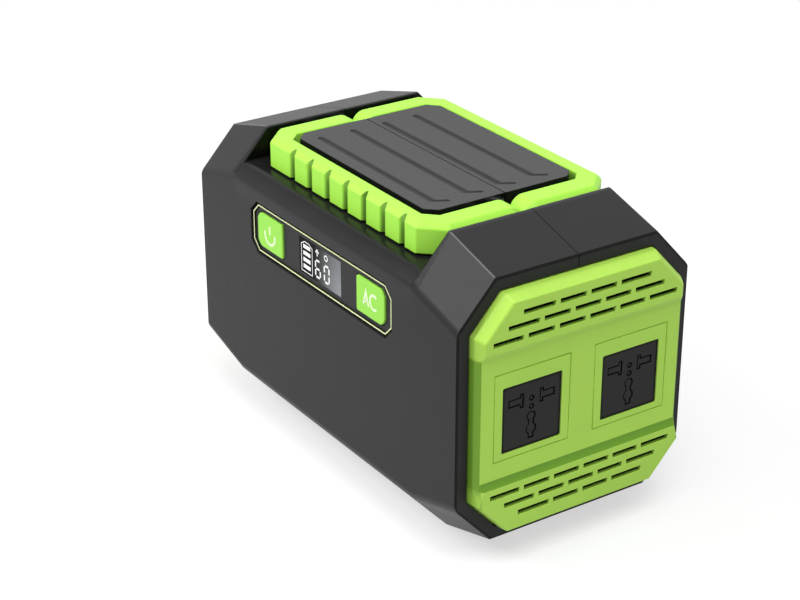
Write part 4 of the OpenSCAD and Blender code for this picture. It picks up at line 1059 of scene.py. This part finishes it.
def arc(x, z, wide, high, start, end, steps=32):
    """Points along an arc of an ellipse, in degrees from the right, anticlockwise."""
    turns = [math.radians(start + (end - start) * i / steps) for i in range(steps + 1)]
    return [(x + wide * math.cos(t), z + high * math.sin(t)) for t in turns]


def make_marks(name, origin, lines, body, finish):
    """One piece made of ribbons: each line is points from an origin, a width and if it closes."""
    work = bmesh.new()
    for points, width, closed in lines:
        places = [(origin.x + x * MM, origin.z + z * MM) for x, z in points]
        ribbon(work, places, width * MM, origin.y, origin.y + MARK_DEEP, closed)
    bmesh.ops.recalc_face_normals(work, faces=work.faces)
    add_piece(name, work, body, FINISHES[finish])


def make_button_mark(node, name, lines):
    low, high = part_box(node)
    origin = Vector(((low.x + high.x) / 2, low.y, (low.z + high.z) / 2))
    strokes = [(points, BOLD, False) for points in lines]
    make_marks(name, origin, strokes, node + "_body", "pale_print")


def make_button_marks():
    """The power symbol and the letters of the AC function."""
    make_button_mark("power_button", "power_mark", [
        arc(0, -0.75, 5.4, 5.4, 165, 375),
        [(0, -0.15), (0, 4.85)],
    ])
    make_button_mark("ac_button", "ac_mark", [
        [(-6.42, -4.2), (-3.9, 3.528), (-1.38, -4.2)],
        [(-5.16, -1.68), (-2.64, -1.68)],
        arc(3.7, 0, 3.7, 4.1, 50, 310),
    ])


SEGMENTS_OF = {6: "acdefg", 0: "abcdef"}
DIGIT_Z, DIGIT_WIDE, DIGIT_HIGH, DIGIT_BOLD = 2.8, 4.8, 9.8, 1.2
DIGITS = ((6, 16.8), (0, 25.8))
CELL_LEFT, CELL_RIGHT, CELL_LOW, CELL_HIGH, CELL_TIP = 2.2, 13.4, 1.3, 17.4, 19.2
CELL_STEP = 1.6
BAR_COUNT, BAR_LOW, BAR_PITCH, BAR_INSET, BAR_BOLD = 4, 3.3, 3.95, 1.9, 2.3
SIGN_Z, ARROW_X, RING_X = 17.2, 18.6, 27.6
LENS_RISE = 0.04 * MM


def digit_lines(digit, x):
    """The lit bars of a seven-segment digit whose left edge is at a place."""
    gap = DIGIT_BOLD * 0.6
    low, mid, top, right = DIGIT_Z, DIGIT_Z + DIGIT_HIGH / 2, DIGIT_Z + DIGIT_HIGH, x + DIGIT_WIDE
    bars = {
        "a": [(x + gap, top), (right - gap, top)],
        "b": [(right, top - gap), (right, mid + gap)],
        "c": [(right, mid - gap), (right, low + gap)],
        "d": [(x + gap, low), (right - gap, low)],
        "e": [(x, mid - gap), (x, low + gap)],
        "f": [(x, top - gap), (x, mid + gap)],
        "g": [(x + gap, mid), (right - gap, mid)],
    }
    return [(bars[name], DIGIT_BOLD, False) for name in SEGMENTS_OF[digit]]


def battery_lines():
    """Outline of a battery with a stepped top, and the bars of its level."""
    neck = [(CELL_STEP, CELL_HIGH + CELL_STEP / 2), (2 * CELL_STEP, CELL_TIP)]
    outline = [(CELL_LEFT, CELL_LOW), (CELL_RIGHT, CELL_LOW), (CELL_RIGHT, CELL_HIGH)]
    outline += [(CELL_RIGHT - x, z) for x, z in neck]
    outline += [(CELL_LEFT + x, z) for x, z in reversed(neck)]
    outline.append((CELL_LEFT, CELL_HIGH))
    lines = [(outline, 0.5, True)]
    for i in range(BAR_COUNT):
        z = CELL_LOW + BAR_LOW + BAR_PITCH * i
        lines.append(([(CELL_LEFT + BAR_INSET, z), (CELL_RIGHT - BAR_INSET, z)], BAR_BOLD, False))
    return lines


def make_display_marks():
    """Battery level, a plain number, an arrow and a ring, from the lens's lower left corner."""
    lines = battery_lines()
    for digit, x in DIGITS:
        lines += digit_lines(digit, x)
    head = [(ARROW_X - 1.6, SIGN_Z), (ARROW_X, SIGN_Z + 1.8), (ARROW_X + 1.6, SIGN_Z)]
    lines += [
        ([(ARROW_X, SIGN_Z - 1.9), (ARROW_X, SIGN_Z + 0.6)], 0.9, False),
        (head, 0.8, False),
        (arc(RING_X, SIGN_Z, 1.5, 1.5, 0, 345, 23), 0.7, True),
    ]
    origin = LENS_LOW - Vector((0, LENS_RISE, 0))
    make_marks("display_marks", origin, lines, "case", "white_print")


# Camera, as in the photograph

CAMERA_PLACE = (0.8407, -0.5852, 0.5760)
CAMERA_BACK = (0.7492, -0.5025, 0.4315)
CAMERA_LENS, CAMERA_SENSOR = 89.57, 36.0


def set_up(name, data, place, back):
    """Puts a camera or lamp at a place, looking away from a direction."""
    thing = bpy.data.objects.new(name, data)
    thing.location = place
    thing.rotation_mode = "QUATERNION"
    thing.rotation_quaternion = Vector(back).to_track_quat("Z", "Y")
    bpy.context.scene.collection.objects.link(thing)
    return thing


def make_camera():
    data = bpy.data.cameras.new("camera")
    data.lens = CAMERA_LENS
    data.sensor_width = CAMERA_SENSOR
    bpy.context.scene.camera = set_up("camera", data, CAMERA_PLACE, CAMERA_BACK)


# Studio

WHITE = (1.0, 1.0, 1.0, 1.0)
WORLD_LIGHT = 0.42
FLOOR_SIZE = 12.0
FLOOR_TONE, FLOOR_VEIL, FLOOR_GLOW = 0.62, 0.4, 0.6
FLOOR_FADE = (0.35, 0.9)
BODY_MIDDLE = Vector((0, 0, 0.09))
# Name, place, width and power
LAMPS = (
    ("key", Vector((-0.67, -1.18, 1.26)), 0.8, 22.5),
    ("top", Vector((0.55, -0.15, 1.55)), 1.2, 19.5),
)


def seen_rays(tree):
    """One for a ray of the camera, of a reflection or through a clear piece, and else nothing."""
    path = add_node(tree, "ShaderNodeLightPath")
    whole = path.outputs["Is Camera Ray"]
    for name in ("Is Glossy Ray", "Is Transmission Ray"):
        inputs = {0: whole, 1: path.outputs[name]}
        whole = add_node(tree, "ShaderNodeMath", inputs, operation="MAXIMUM")
    return whole


def make_floor():
    """A pale floor that shows as white, with the object's shadow on it."""
    corners = [(-1, -1), (1, -1), (1, 1), (-1, 1)]
    mesh = bpy.data.meshes.new("floor")
    mesh.from_pydata([(FLOOR_SIZE * x, FLOOR_SIZE * y, 0) for x, y in corners], [], [(0, 1, 2, 3)])
    floor = bpy.data.objects.new("floor", mesh)
    bpy.context.scene.collection.objects.link(floor)
    material = bpy.data.materials.new("floor")
    material.use_nodes = True
    tree = material.node_tree
    tree.nodes.clear()
    plain = add_node(tree, "ShaderNodeBsdfDiffuse", {"Color": shade(WHITE, FLOOR_TONE)})
    veil = add_node(tree, "ShaderNodeBsdfDiffuse", {"Color": shade(WHITE, FLOOR_VEIL)})
    glow = add_node(tree, "ShaderNodeEmission", {"Strength": FLOOR_GLOW})
    near = add_node(tree, "ShaderNodeAddShader", {0: veil, 1: glow})
    far = add_node(tree, "ShaderNodeEmission")
    place = add_node(tree, "ShaderNodeTexCoord").outputs["Object"]
    reach = add_node(tree, "ShaderNodeVectorMath", {0: place}, operation="LENGTH").outputs["Value"]
    fade = add_node(tree, "ShaderNodeMapRange", {0: reach, 1: FLOOR_FADE[0], 2: FLOOR_FADE[1]})
    seen = add_node(tree, "ShaderNodeMixShader", {0: fade, 1: near, 2: far})
    mix = add_node(tree, "ShaderNodeMixShader", {0: seen_rays(tree), 1: plain, 2: seen})
    add_node(tree, "ShaderNodeOutputMaterial", {0: mix})
    mesh.materials.append(material)


def make_world():
    """Even light from all round, that shows as plain white."""
    world = bpy.data.worlds.new("studio")
    bpy.context.scene.world = world
    world.use_nodes = True
    tree = world.node_tree
    light = tree.nodes["Background"]
    light.inputs["Color"].default_value = WHITE
    light.inputs["Strength"].default_value = WORLD_LIGHT
    white = add_node(tree, "ShaderNodeBackground", {"Color": WHITE, "Strength": 1.0})
    mix = add_node(tree, "ShaderNodeMixShader", {0: seen_rays(tree), 1: light, 2: white})
    feed(tree, tree.nodes["World Output"].inputs[0], mix)


def make_lights():
    for name, place, width, power in LAMPS:
        data = bpy.data.lights.new(name, "AREA")
        data.shape = "RECTANGLE"
        data.size = data.size_y = width
        data.energy = power
        set_up(name, data, place, place - BODY_MIDDLE)


make_camera()
dress_nodes()
make_soft_pieces()
make_button("power_button", -1)
make_button("ac_button", 1)
make_seam_seal()
make_trim()
make_shutters()
make_button_marks()
make_display_marks()
make_floor()
make_world()
make_lights()
bpy.context.scene.view_settings.view_transform = "Standard"
